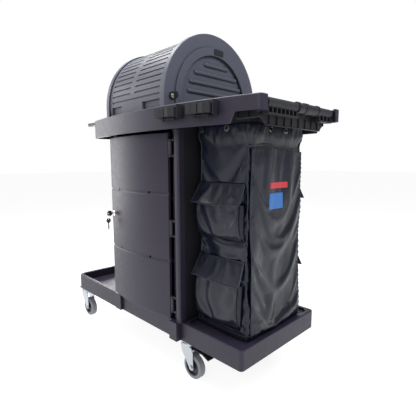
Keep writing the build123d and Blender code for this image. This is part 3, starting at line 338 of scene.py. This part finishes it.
def screen_print(name, colour):
    """Plastisol ink pressed into coated cloth: flat colour that dulls the coat's gloss."""
    material, tree, shader = start_finish(name, IOR=1.48, Coat_Weight=0.1)
    place = add_node(tree, "ShaderNodeTexCoord").outputs["Object"]
    speckle = add_node(tree, "ShaderNodeTexNoise", links={"Vector": place},
                       values={"Scale": 1 / 0.003, "Detail": 4, "Roughness": 0.7})
    shade = add_node(tree, "ShaderNodeMix", data_type="RGBA",
                     links={"Factor": speckle.outputs["Fac"]},
                     values={"A": dimmed(colour, 0.8), "B": dimmed(colour, 1.15)})
    tree.links.new(shade.outputs["Result"], shader.inputs["Base Color"])
    shader.inputs["Roughness"].default_value = 0.5
    return material


def paint(nodes, material):
    """Give CAD nodes one finish."""
    for node in nodes:
        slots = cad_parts[node].data.materials
        slots.clear()
        slots.append(material)


# ---------------------------------------------------------------- cloth
def cloth_grid(name, columns, rows, place, stretch, closed=False):
    """A grid of cloth: place(column, row) gives each point, and its UVs hold metres of cloth."""
    points = [place(i, j) for j in range(rows + 1) for i in range(columns + (not closed))]
    across = columns + (not closed)
    faces, corners = [], []
    for j in range(rows):
        for i in range(columns):
            right = (i + 1) % across
            faces.append((j * across + i, j * across + right,
                          (j + 1) * across + right, (j + 1) * across + i))
            corners += [(i, j), (i + 1, j), (i + 1, j + 1), (i, j + 1)]
    mesh = bpy.data.meshes.new(name)
    mesh.from_pydata(points, [], faces)
    weave = mesh.uv_layers.new(name="weave")
    for loop, (i, j) in zip(weave.data, corners):
        loop.uv = (i * stretch[0], j * stretch[1])
    mesh.polygons.foreach_set("use_smooth", [True] * len(faces))
    piece = bpy.data.objects.new(name, mesh)
    bpy.context.scene.collection.objects.link(piece)
    return piece


def settle(piece, held, slack, bending, gravity, frames=22):
    """Lets a piece move as cloth, held by its weights, and gives where its points come to rest."""
    group = piece.vertex_groups.new(name="held")
    for index, weight in enumerate(held):
        group.add([index], weight, "REPLACE")
    cloth = piece.modifiers.new("Cloth", "CLOTH")
    rules = cloth.settings
    rules.vertex_group_mass = "held"
    rules.quality = 5
    rules.mass = 0.25
    rules.air_damping = 1.5
    rules.tension_stiffness = 25
    rules.compression_stiffness = 25
    rules.shear_stiffness = 8
    rules.bending_stiffness = bending
    rules.shrink_min = -slack
    rules.effector_weights.gravity = gravity
    cloth.point_cache.frame_start = 1
    cloth.point_cache.frame_end = frames
    for number in range(1, frames + 1):
        bpy.context.scene.frame_set(number)
    moved = piece.evaluated_get(bpy.context.evaluated_depsgraph_get())
    rest = [vertex.co.copy() for vertex in moved.data.vertices]
    piece.modifiers.remove(cloth)
    bpy.context.scene.frame_set(1)
    return rest


def drape(piece, outward, held, slack, proud, hollow, bending=1.5, gravity=0.6):
    """Cloth simulation of one piece, with each point kept near the shape it was cut to."""
    homes = [vertex.co.copy() for vertex in piece.data.vertices]
    rest = settle(piece, held, slack, bending, gravity)
    for vertex, home, place, normal in zip(piece.data.vertices, homes, rest, outward):
        shift = place - home
        out = shift.dot(normal)
        along = shift - normal * out
        if along.length > proud:
            along *= proud / along.length
        vertex.co = home + along + normal * min(max(out, -hollow), proud)


def finish_cloth(piece, material, thickness, body=CART, levels=1, offset=0.0):
    """Rounds and thickens a sheet of cloth, gives it its finish and seats it on its body."""
    piece.data.materials.append(material)
    smooth = piece.modifiers.new("Rounded", "SUBSURF")
    smooth.levels = smooth.render_levels = levels
    skin = piece.modifiers.new("Thickness", "SOLIDIFY")
    skin.thickness = thickness
    skin.offset = offset
    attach(piece, body)


def surface_of(piece):
    """A search tree of a piece's final surface."""
    return BVHTree.FromObject(piece, bpy.context.evaluated_depsgraph_get())


def sewn_cord(name, points, radius, material, closed=False, sides=8):
    """A round cord sewn along points, as a mesh tube with closed ends."""
    count = len(points)
    rings, faces = [], []
    for index, point in enumerate(points):
        ahead = points[(index + 1) % count] if closed or index + 1 < count else point
        behind = points[index - 1] if closed or index else point
        run = (ahead - behind).normalized()
        side = run.cross(Vector((0.31, 0.42, 0.85))).normalized()
        up = run.cross(side)
        for step in range(sides):
            turn = 2 * math.pi * step / sides
            rings.append(point + (side * math.cos(turn) + up * math.sin(turn)) * radius)
    spans = count if closed else count - 1
    for index in range(spans):
        after = (index + 1) % count
        for step in range(sides):
            beside = (step + 1) % sides
            faces.append((index * sides + step, index * sides + beside,
                          after * sides + beside, after * sides + step))
    if not closed:
        faces.append(tuple(range(sides - 1, -1, -1)))
        faces.append(tuple((count - 1) * sides + step for step in range(sides)))
    mesh = bpy.data.meshes.new(name)
    mesh.from_pydata(rings, [], faces)
    mesh.uv_layers.new(name="weave")
    mesh.polygons.foreach_set("use_smooth", [True] * len(faces))
    mesh.materials.append(material)
    piece = bpy.data.objects.new(name, mesh)
    bpy.context.scene.collection.objects.link(piece)
    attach(piece, CART)
    return piece


# ---------------------------------------------------------------- bag shapes
BAG_LOW, BAG_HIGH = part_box("bag")
BAG_CORNER = 0.014
CELL = 0.0085
ROW = 0.0095


def bag_plan():
    """Points round the bag's plan with their outward normals, from the front left corner on."""
    low, high, bend = BAG_LOW, BAG_HIGH, BAG_CORNER
    width, depth = high.x - low.x, high.y - low.y
    sides = [((low.x, low.y), (1, 0), width), ((high.x, low.y), (0, 1), depth),
             ((high.x, high.y), (-1, 0), width), ((low.x, high.y), (0, -1), depth)]
    plan = []
    for start, run, length in sides:
        out = (run[1], -run[0])
        inner = (start[0] + bend * (run[0] - out[0]), start[1] + bend * (run[1] - out[1]))
        for turn in (-67.5, -45.0, -22.5):
            angle = math.radians(turn)
            normal = (out[0] * math.cos(angle) + run[0] * math.sin(angle),
                      out[1] * math.cos(angle) + run[1] * math.sin(angle))
            place = (inner[0] + bend * normal[0], inner[1] + bend * normal[1])
            plan.append((Vector((*place, 0)), Vector((*normal, 0)), turn == -45.0))
        steps = round((length - 2 * bend) / CELL)
        for step in range(steps + 1):
            along = bend + (length - 2 * bend) * step / steps
            place = (start[0] + run[0] * along, start[1] + run[1] * along)
            plan.append((Vector((*place, 0)), Vector((*out, 0)), False))
    return plan


def waist(height):
    """How far the filled bag draws in between its floor and its collar."""
    rise = min(max((height - 0.24) / 0.36, 0.0), 1.0)
    fall = min(max((height - 0.93) / 0.045, 0.0), 1.0)
    return 0.010 * rise * rise * (3 - 2 * rise) * (1 - fall * fall * (3 - 2 * fall))


def folds(place, normal, height):
    """How far the bag wall is folded in or out at a point, before it settles."""
    tall = noise.noise(Vector((place.x * 16, place.y * 16, height * 2.2))) * 0.006
    lean = height * 7
    slanted = noise.noise(Vector((place.x * 9 + lean, place.y * 9 + lean, 3.1))) * 0.005
    return tall + slanted


def band(value, centre, half):
    """A smooth bump that is 1 at its centre and 0 beyond half a width."""
    reach = min(abs(value - centre) / half, 1.0)
    return (1 - reach * reach) ** 2


class CART_OT_bag_wall(bpy.types.Operator):
    """Hang the bag's four walls and floor as folded coated cloth"""

    bl_idname = "cart.bag_wall"
    bl_label = "Bag wall"

    def execute(self, context):
        sizes = context.scene.cart_bag
        cloth = bpy.data.materials["PVC-coated polyester"]
        plan = bag_plan()
        bottom, top = BAG_LOW.z + 0.001, BAG_HIGH.z
        rows = round((top - bottom) / ROW)
        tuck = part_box("bag_pockets")[0].z + 0.315

        def place(i, j):
            point, normal, corner = plan[i]
            height = bottom + (top - bottom) * j / rows
            free = min(1, (j / 7)) * min(1, (rows - j) / 9)
            out = folds(point, normal, height) * free * (0.25 if corner else 1)
            if abs(normal.y) > 0.9:
                ridge = 0.007 * band(height, tuck, 0.022)
                hollow = 0.004 * band(height, tuck - 0.035, 0.018)
                out += free * (ridge - hollow)
            return point + normal * (out - waist(height)) + Vector((0, 0, height))

        wall = cloth_grid("bag_wall", len(plan), rows, place, (CELL, ROW), closed=True)
        held = []
        outward = []
        for j in range(rows + 1):
            for point, normal, corner in plan:
                edge = max(0.0, 1 - j / 2, 1 - (rows - j) / 3)
                held.append(min(1.0, max(edge, 0.92 if corner else 0.0)))
                outward.append(normal)
        drape(wall, outward, held, sizes.slack, sizes.fold * 0.35, sizes.sag)
        finish_cloth(wall, cloth, sizes.cloth)
        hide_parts("bag")
        size = BAG_HIGH - BAG_LOW

        inset = 0.004
        width, depth = size.x - 2 * inset, size.y - 2 * inset
        across, along = 24, 36

        def floor_place(i, j):
            spot = Vector((BAG_LOW.x + inset + width * i / across,
                           BAG_LOW.y + inset + depth * j / along, 0))
            rim = min(i, across - i, j, along - j)
            spot.z = bottom + 0.0012 + (0.002 + 0.002 * noise.noise(spot * 30)) * min(1, rim / 3)
            return spot

        cell = (width / across, depth / along)
        floor = cloth_grid("bag_floor", across, along, floor_place, cell)
        finish_cloth(floor, cloth, sizes.cloth)
        return {"FINISHED"}


def pocket_sheet(name, side, low, high, sizes, material):
    """One pocket: a front panel and its gussets in a single cut, open at the top."""
    left, right = BAG_LOW.x + 0.008, BAG_HIGH.x - 0.024
    face = BAG_LOW.y if side < 0 else BAG_HIGH.y
    gusset, front, rows = 4, 26, 20
    columns = front + 2 * gusset
    depth_at = [0.0, 0.45, 0.68, 0.8, 0.9, 0.97, 1.0, 1.0, 0.98, 0.94, 0.88]

    def place(i, j):
        up = j / rows
        spot = up * (len(depth_at) - 1)
        below = min(int(spot), len(depth_at) - 2)
        share = depth_at[below] + (depth_at[below + 1] - depth_at[below]) * (spot - below)
        depth = sizes.bulge * share + 0.0015
        height = low + (high - low) * up
        if i < gusset:
            x, out = left - 0.001 + 0.005 * math.sin(math.pi * i / gusset), depth * i / gusset
        elif i > columns - gusset:
            back = (columns - i) / gusset
            x, out = right + 0.001 - 0.011 * math.sin(math.pi * back), depth * back
        else:
            across = (i - gusset) / front
            x = left + (right - left) * across
            ripple = noise.noise(Vector((x * 22 + side * 3, height * 14, side * 5 + low * 9)))
            crown = math.sin(math.pi * across) ** 0.7
            out = depth + 0.005 * ripple * crown * min(1, up * 4) + 0.003 * crown
        return Vector((x, face + side * (out + 0.0012 - waist(height)), height))

    stretch = ((right - left + 2 * sizes.bulge) / columns, (high - low) / rows)
    piece = cloth_grid(name, columns, rows, place, stretch)
    normal = Vector((0, side, 0))
    held = []
    for j in range(rows + 1):
        for i in range(columns + 1):
            edge = i in (0, columns) or j == 0
            fold_line = i in (gusset, columns - gusset)
            held.append(1.0 if edge else 0.85 if fold_line else 0.6 if j == rows else 0.0)
    drape(piece, [normal] * len(held), held, sizes.slack * 0.4, 0.004, 0.004, bending=3,
          gravity=0.3)
    finish_cloth(piece, material, sizes.cloth)
    return piece


class CART_OT_bag_pockets(bpy.types.Operator):
    """Sew two gusseted pockets on the front of the bag and two on the back"""

    bl_idname = "cart.bag_pockets"
    bl_label = "Bag pockets"

    def execute(self, context):
        sizes = context.scene.cart_bag
        cloth = bpy.data.materials["PVC-coated polyester"]
        low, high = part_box("bag_pockets")
        spans = {"lower": (low.z, low.z + 0.168), "upper": (high.z - 0.130, high.z)}
        for level, (bottom, top) in spans.items():
            for face, side in (("front", -1), ("back", 1)):
                piece = pocket_sheet(f"pocket_{level}_{face}", side, bottom, top, sizes, cloth)
                if (level, face) == ("lower", "front"):
                    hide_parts("bag_pockets")
        return {"FINISHED"}


def flap_sheet(name, side, low, high, sizes, material, curl):
    """One pocket flap: sewn along its top, its free edge standing off the pocket."""
    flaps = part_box("bag_flaps")
    left, right = flaps[0].x, flaps[1].x
    face = BAG_LOW.y if side < 0 else BAG_HIGH.y
    columns, rows = 26, 10

    def place(i, j):
        across, down = i / columns, 1 - j / rows
        taper = 0.010 * (1 - down)
        x = left + taper + (right - left - 2 * taper) * across
        rise = sizes.lift * (0.25 * down + 0.75 * down ** 1.25)
        wave = 0.004 * down * math.sin(across * math.pi * 2 + side + low * 11)
        dip = curl * down * math.sin(math.pi * across)
        height = high + 0.003 - (high + 0.003 - low) * down - dip
        height += 0.0025 * down * noise.noise(Vector((x * 20, low * 3, side)))
        return Vector((x, face + side * (0.003 + rise + wave - waist(height)), height))

    stretch = ((right - left) / columns, 0.085 / rows)
    piece = cloth_grid(name, columns, rows, place, stretch)
    held = []
    for j in range(rows + 1):
        for i in range(columns + 1):
            held.append(1.0 if j >= rows - 1 else 0.55 if j == 0 or i in (0, columns) else 0.25)
    drape(piece, [Vector((0, side, 0))] * len(held), held, sizes.slack * 0.25, 0.002, 0.002,
          bending=8, gravity=0.2)
    across = columns + 1
    rim = [piece.data.vertices[j * across].co.copy() for j in range(rows, -1, -1)]
    rim += [piece.data.vertices[i].co.copy() for i in range(1, across)]
    rim += [piece.data.vertices[j * across + columns].co.copy() for j in range(1, rows + 1)]
    finish_cloth(piece, material, 2 * sizes.cloth)
    binding = bpy.data.materials["Woven binding tape"]
    edge = sewn_cord(name + "_binding", rim, sizes.piping * 0.75, binding)
    return piece


class CART_OT_bag_flaps(bpy.types.Operator):
    """Sew a doubled flap with bound edges over each pocket"""

    bl_idname = "cart.bag_flaps"
    bl_label = "Bag flaps"

    def execute(self, context):
        sizes = context.scene.cart_bag
        cloth = bpy.data.materials["PVC-coated polyester"]
        low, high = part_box("bag_flaps")
        spans = {"lower": (low.z, low.z + 0.080, 0.001),
                 "upper": (high.z - 0.077, high.z - 0.005, 0.005)}
        for level, (bottom, top, curl) in spans.items():
            for face, side in (("front", -1), ("back", 1)):
                piece = flap_sheet(f"flap_{level}_{face}", side, bottom, top, sizes, cloth, curl)
                if (level, face) == ("lower", "front"):
                    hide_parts("bag_flaps")
        return {"FINISHED"}


def end_panel_top(across):
    """Height of the end panel's arched top edge, across 0 to 1 from front to back."""
    arch = 0.014 * math.sin(math.pi * min(1.0, 0.15 + across))
    return BAG_HIGH.z - 0.094 + arch


class CART_OT_bag_end_panel(bpy.types.Operator):
    """Hang the long zipped panel over the bag's outer end, with its zip and plain print"""

    bl_idname = "cart.bag_end_panel"
    bl_label = "Bag end panel"

    def execute(self, context):
        sizes = context.scene.cart_bag
        cloth = bpy.data.materials["PVC-coated polyester"]
        near, far = BAG_LOW.y + 0.017, BAG_HIGH.y - 0.012
        bottom = BAG_LOW.z + 0.008
        columns, rows = 42, 76

        def place(i, j):
            across = i / columns
            top = end_panel_top(across)
            height = bottom + (top - bottom) * j / rows
            y = near + (far - near) * across
            free = min(1, j / 6)
            sway = noise.noise(Vector((y * 13, height * 3.2, 7))) * 0.006
            slant = noise.noise(Vector((y * 9 - height * 8, height * 5, 2))) * 0.007
            pull = 0.006 * band(y - near - (height - bottom) * 0.22, 0.10, 0.05)
            out = 0.0065 + (sway + slant + pull) * free + 0.002 * (j / rows)
            return Vector((BAG_HIGH.x + max(out, 0.0042) - waist(height), y, height))

        stretch = ((far - near) / columns, (BAG_HIGH.z - 0.09 - bottom) / rows)
        panel = cloth_grid("bag_end_panel", columns, rows, place, stretch)
        held = []
        for j in range(rows + 1):
            for i in range(columns + 1):
                sewn = 1.0 if j == 0 or i == 0 else 0.0
                held.append(max(sewn, 0.9 if i == columns or j == rows else 0.0))
        drape(panel, [Vector((1, 0, 0))] * len(held), held, sizes.slack * 1.2,
              sizes.fold, 0.0015, bending=2.0, gravity=0.8)
        across = columns + 1
        rim = [panel.data.vertices[j * across].co.copy() for j in range(rows + 1)]
        rim += [panel.data.vertices[rows * across + i].co.copy() for i in range(1, across)]
        rim += [panel.data.vertices[j * across + columns].co.copy()
                for j in range(rows - 1, -1, -1)]
        finish_cloth(panel, cloth, sizes.cloth * 1.5)
        binding = bpy.data.materials["Woven binding tape"]
        edge = sewn_cord("end_panel_binding", rim, sizes.piping * 0.7, binding)
        zip_line = []
        for step in range(60):
            share = step / 59
            y = near - 0.010 + (far - near + 0.004) * share
            height = end_panel_top(share) + 0.011
            zip_line.append(Vector((BAG_HIGH.x + 0.0035 - waist(height), y, height)))
        coil = sewn_cord("bag_zip_coil", zip_line, 0.0026, bpy.data.materials["Zip coil nylon"])
        self.print_mark(panel)
        return {"FINISHED"}

    def print_mark(self, panel):
        """Lays two plain patches of ink on the panel's outer face."""
        surface = surface_of(panel)
        middle = (BAG_LOW.y + BAG_HIGH.y) / 2
        marks = {
            "print_patch": ("Screen print, first ink", middle - 0.012, 0.728, 0.086, 0.060),
            "print_bar": ("Screen print, second ink", middle + 0.002, 0.786, 0.110, 0.022),
        }
        for name, (ink, y, z, width, height) in marks.items():
            steps = (16, 10)

            def place(i, j):
                spot = Vector((BAG_HIGH.x + 0.1, y + width * (i / steps[0] - 0.5),
                               z + height * (j / steps[1] - 0.5)))
                hit = surface.ray_cast(spot, Vector((-1, 0, 0)))[0]
                return hit + Vector((0.0007, 0, 0))

            patch = cloth_grid(name, *steps, place, (width / steps[0], height / steps[1]))
            patch.data.materials.append(bpy.data.materials[ink])
            skin = patch.modifiers.new("Thickness", "SOLIDIFY")
            skin.thickness = 0.0006
            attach(patch, CART)


class CART_OT_bag_trim(bpy.types.Operator):
    """Sew the corner piping and the bottom hem on to the bag wall"""

    bl_idname = "cart.bag_trim"
    bl_label = "Bag piping and hem"

    def execute(self, context):
        sizes = context.scene.cart_bag
        binding = bpy.data.materials["Woven binding tape"]
        wall = bpy.data.objects["bag_wall"]
        plan = bag_plan()
        across = len(plan)
        rows = len(wall.data.vertices) // across - 1
        corners = [index for index, entry in enumerate(plan) if entry[2]]
        for number, index in enumerate(corners, 1):
            normal = plan[index][1]
            line = [wall.data.vertices[j * across + index].co + normal * 0.0012
                    for j in range(0, rows - 1)]
            sewn_cord(f"bag_piping_{number}", line, sizes.piping, binding)
        surface = surface_of(wall)
        steps = 5

        def place(i, j):
            point, normal, corner = plan[i]
            height = BAG_LOW.z + 0.001 + sizes.hem * j / steps
            start = point + normal * 0.05 + Vector((0, 0, height))
            hit = surface.ray_cast(start, -normal)[0] or point + Vector((0, 0, height))
            return hit + normal * 0.0016

        hem = cloth_grid("bag_hem", across, steps, place, (CELL, sizes.hem / steps), closed=True)
        hem.data.materials.append(bpy.data.materials["PVC-coated polyester"])
        skin = hem.modifiers.new("Thickness", "SOLIDIFY")
        skin.thickness = sizes.cloth * 1.5
        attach(hem, CART)
        line = [place(i, steps) + plan[i][1] * 0.0004 for i in range(across)]
        sewn_cord("bag_hem_cord", line, 0.0011, binding, closed=True)
        return {"FINISHED"}


# ---------------------------------------------------------------- CAD finishes
class CART_OT_finishes(bpy.types.Operator):
    """Make every finish of the cart"""

    bl_idname = "cart.finishes"
    bl_label = "Finishes"

    def execute(self, context):
        tint = context.scene.cart_colours
        moulded_plastic("Spark-grained ABS, charcoal", tuple(tint.body))
        moulded_plastic("Spark-grained ABS, hood", tuple(tint.hood), roughness=0.4)
        moulded_plastic("Moulded polypropylene, black", tuple(tint.trim), roughness=0.46, wear=0.2)
        moulded_plastic("Glass-filled nylon, hub", tuple(tint.hub), roughness=0.5, wear=0.15)
        coated_cloth("PVC-coated polyester", tuple(tint.bag))
        coated_cloth("Woven binding tape", tuple(tint.binding), thread_mm=1.5, roughness=0.5,
                     coat=0.15)
        moulded_plastic("Zip coil nylon", tuple(tint.binding), roughness=0.35, wear=0.1)
        moulded_rubber("Thermoplastic rubber tread", tuple(tint.tyre), 0.62)
        moulded_rubber("Ribbed nitrile rubber", tuple(tint.trim), 0.6, rib_mm=4.6)
        plated_metal("Zinc-plated pressed steel", tuple(tint.zinc), 0.3)
        plated_metal("Nickel-plated brass", tuple(tint.nickel), 0.2, stain=0.15)
        screen_print("Screen print, first ink", tuple(tint.print_blue))
        screen_print("Screen print, second ink", tuple(tint.print_red))
        return {"FINISHED"}


FINISH_OF = {
    "Spark-grained ABS, charcoal": [
        "base_deck", "cabinet_side_left", "cabinet_back", "hinge_column",
        "latch_column", "cabinet_shelves", "cabinet_door", "counter_tray"],
    "Spark-grained ABS, hood": [
        "hood_end_right", "hood_end_left", "hood_rear_shell", "hood_shutter"],
    "Moulded polypropylene, black": [
        "ribbed_skirt", "bag_collar", "hood_lock_cup", "hood_badge", "handle_bar",
        # Painted shade: the cabinet's right side and the door's hinge pins take this black for the
        # shadow and dark gap there.
        "handle_saddles", "handle_comb", "clip_plates", "cabinet_side_right",
        "door_hinge_pins", "door_key_head", "hood_key_head", "clip_pins", "bag_hooks"],
    "Ribbed nitrile rubber": [
        "handle_grips", "clip_jaw_left_a", "clip_jaw_left_b", "clip_jaw_right_a",
        "clip_jaw_right_b", "brake_pedal_front_right", "brake_pedal_back_right"],
    "Zinc-plated pressed steel": ["caster_plates", "caster_bolts"],
    "Nickel-plated brass": [
        "door_lock", "key_ring", "spare_key", "bag_eyelets", "hood_lock"],
}


class CART_OT_mouldings(bpy.types.Operator):
    """Give the cart's mouldings, pressings and fittings their finishes"""

    bl_idname = "cart.mouldings"
    bl_label = "Mouldings and fittings"

    def execute(self, context):
        for finish, nodes in FINISH_OF.items():
            paint(nodes, bpy.data.materials[finish])
        for corner in ("front_left", "back_left", "front_right", "back_right"):
            paint([f"caster_fork_{corner}", f"caster_axle_{corner}"],
                  bpy.data.materials["Zinc-plated pressed steel"])
            paint([f"wheel_hub_{corner}"], bpy.data.materials["Glass-filled nylon, hub"])
            paint([f"wheel_tyre_{corner}"], bpy.data.materials["Thermoplastic rubber tread"])
        return {"FINISHED"}


# ---------------------------------------------------------------- stage
def area_light(name, place, target, power, size, colour):
    """A large soft light aimed at a point."""
    data = bpy.data.lights.new(name, "AREA")
    data.shape = "RECTANGLE"
    data.energy, data.color = power, colour
    data.size, data.size_y = size
    light = bpy.data.objects.new(name, data)
    bpy.context.scene.collection.objects.link(light)
    light.location = place
    light.rotation_euler = (target - place).to_track_quat("-Z", "Y").to_euler()


class CART_OT_stage(bpy.types.Operator):
    """Set the pale floor, the studio lights and the camera"""

    bl_idname = "cart.stage"
    bl_label = "Stage"

    def execute(self, context):
        scene = context.scene
        stage = scene.cart_stage
        low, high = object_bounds()
        middle = (low + high) / 2
        self.make_floor(tuple(stage.floor), stage.glow)
        world = bpy.data.worlds.new("White room")
        world.use_nodes = True
        back = world.node_tree.nodes["Background"]
        back.inputs["Color"].default_value = (1, 1, 1, 1)
        # The wall behind stays white while the room itself lights the cart less.
        seen = add_node(world.node_tree, "ShaderNodeLightPath").outputs["Is Camera Ray"]
        share = add_node(world.node_tree, "ShaderNodeMapRange", links={"Value": seen},
                         values={"To Min": stage.sky, "To Max": 1.0})
        world.node_tree.links.new(share.outputs["Result"], back.inputs["Strength"])
        scene.world = world
        lights = {
            "key": ((-0.6, -2.6, 2.0), stage.key, (2.0, 1.6), (1, 0.99, 0.97)),
            "fill": ((2.2, 0.3, 2.2), stage.fill, (1.6, 1.2), (0.78, 0.87, 1)),
            "top": ((-0.7, -0.3, 2.6), stage.top, (2.4, 2.0), (1, 1, 1)),
            "front": ((1.5, -2.6, 1.5), stage.front, (1.2, 1.0), (0.92, 0.95, 1)),
            "rim": ((-2.8, 2.5, 0.25), stage.rim, (2.6, 1.4), (1, 1, 1)),
            "side": ((-3.4, -1.0, 0.6), stage.side, (1.4, 3.0), (1, 1, 1)),
        }
        for name, (offset, power, size, colour) in lights.items():
            area_light(name, middle + Vector(offset), middle, power, size, colour)
        self.make_camera(scene, Vector((middle.x, middle.y, low.z)))
        scene.view_settings.view_transform = "Standard"
        return {"FINISHED"}

    def make_floor(self, colour, glow):
        """A plain pale floor under the wheels, as even as a lit studio sweep."""
        mesh = bpy.data.meshes.new("floor")
        half = 30
        mesh.from_pydata([(-half, -half, 0), (half, -half, 0), (half, half, 0), (-half, half, 0)],
                         [], [(0, 1, 2, 3)])
        material, tree, shader = start_finish("Painted studio floor", Roughness=0.9)
        shader.inputs["Base Color"].default_value = colour
        shader.inputs["Specular IOR Level"].default_value = 0.1
        shader.inputs["Emission Color"].default_value = (1, 1, 1, 1)
        shader.inputs["Emission Strength"].default_value = glow
        mesh.materials.append(material)
        floor = bpy.data.objects.new("floor", mesh)
        bpy.context.scene.collection.objects.link(floor)
        floor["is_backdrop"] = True

    def make_camera(self, scene, base):
        """The camera stands at the front right, just above the tray's height."""
        data = bpy.data.cameras.new("camera")
        data.lens, data.sensor_width = 30.32, 36
        data.shift_x = 0.0197
        camera = bpy.data.objects.new("camera", data)
        scene.collection.objects.link(camera)
        yaw, pitch, roll = (math.radians(a) for a in (45.82, -7.466, -0.236))
        ahead = Vector((-math.sin(yaw) * math.cos(pitch), math.cos(yaw) * math.cos(pitch),
                        math.sin(pitch)))
        right = Vector((math.cos(yaw), math.sin(yaw), 0))
        up = right.cross(ahead)
        side = right * math.cos(roll) + up * math.sin(roll)
        top = up * math.cos(roll) - right * math.sin(roll)
        turn = Matrix((side, top, -ahead)).transposed().to_4x4()
        camera.matrix_world = Matrix.Translation(base + Vector((1.2662, -1.1022, 0.8726))) @ turn
        scene.camera = camera


class CART_PT_panel(bpy.types.Panel):
    """Lists the cart's operators and settings in the sidebar"""

    bl_idname = "CART_PT_panel"
    bl_label = "Housekeeping cart"
    bl_space_type = "VIEW_3D"
    bl_region_type = "UI"
    bl_category = "Cart"

    def draw(self, context):
        for step in STEPS:
            self.layout.operator(step.bl_idname)
        for group in (context.scene.cart_colours, context.scene.cart_bag,
                      context.scene.cart_stage):
            box = self.layout.box()
            for setting in group.bl_rna.properties:
                if setting.identifier not in ("rna_type", "name"):
                    box.prop(group, setting.identifier)


STEPS = (CART_OT_finishes, CART_OT_mouldings, CART_OT_bag_wall, CART_OT_bag_pockets,
         CART_OT_bag_flaps, CART_OT_bag_end_panel, CART_OT_bag_trim, CART_OT_stage)
CLASSES = (CartColours, BagSizes, StageSettings, *STEPS, CART_PT_panel)


def register():
    """Registers the classes and hangs the settings on the scene."""
    for item in CLASSES:
        bpy.utils.register_class(item)
    bpy.types.Scene.cart_colours = bpy.props.PointerProperty(type=CartColours)
    bpy.types.Scene.cart_bag = bpy.props.PointerProperty(type=BagSizes)
    bpy.types.Scene.cart_stage = bpy.props.PointerProperty(type=StageSettings)


def unregister():
    """Takes the settings and classes away again."""
    del bpy.types.Scene.cart_stage, bpy.types.Scene.cart_bag, bpy.types.Scene.cart_colours
    for item in reversed(CLASSES):
        bpy.utils.unregister_class(item)


def main():
    """Builds the whole cart in order."""
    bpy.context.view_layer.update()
    register()
    bpy.ops.cart.finishes()
    bpy.ops.cart.mouldings()
    bpy.ops.cart.bag_wall()
    bpy.ops.cart.bag_pockets()
    bpy.ops.cart.bag_flaps()
    bpy.ops.cart.bag_end_panel()
    bpy.ops.cart.bag_trim()
    bpy.ops.cart.stage()


if __name__ == "__main__":
    main()
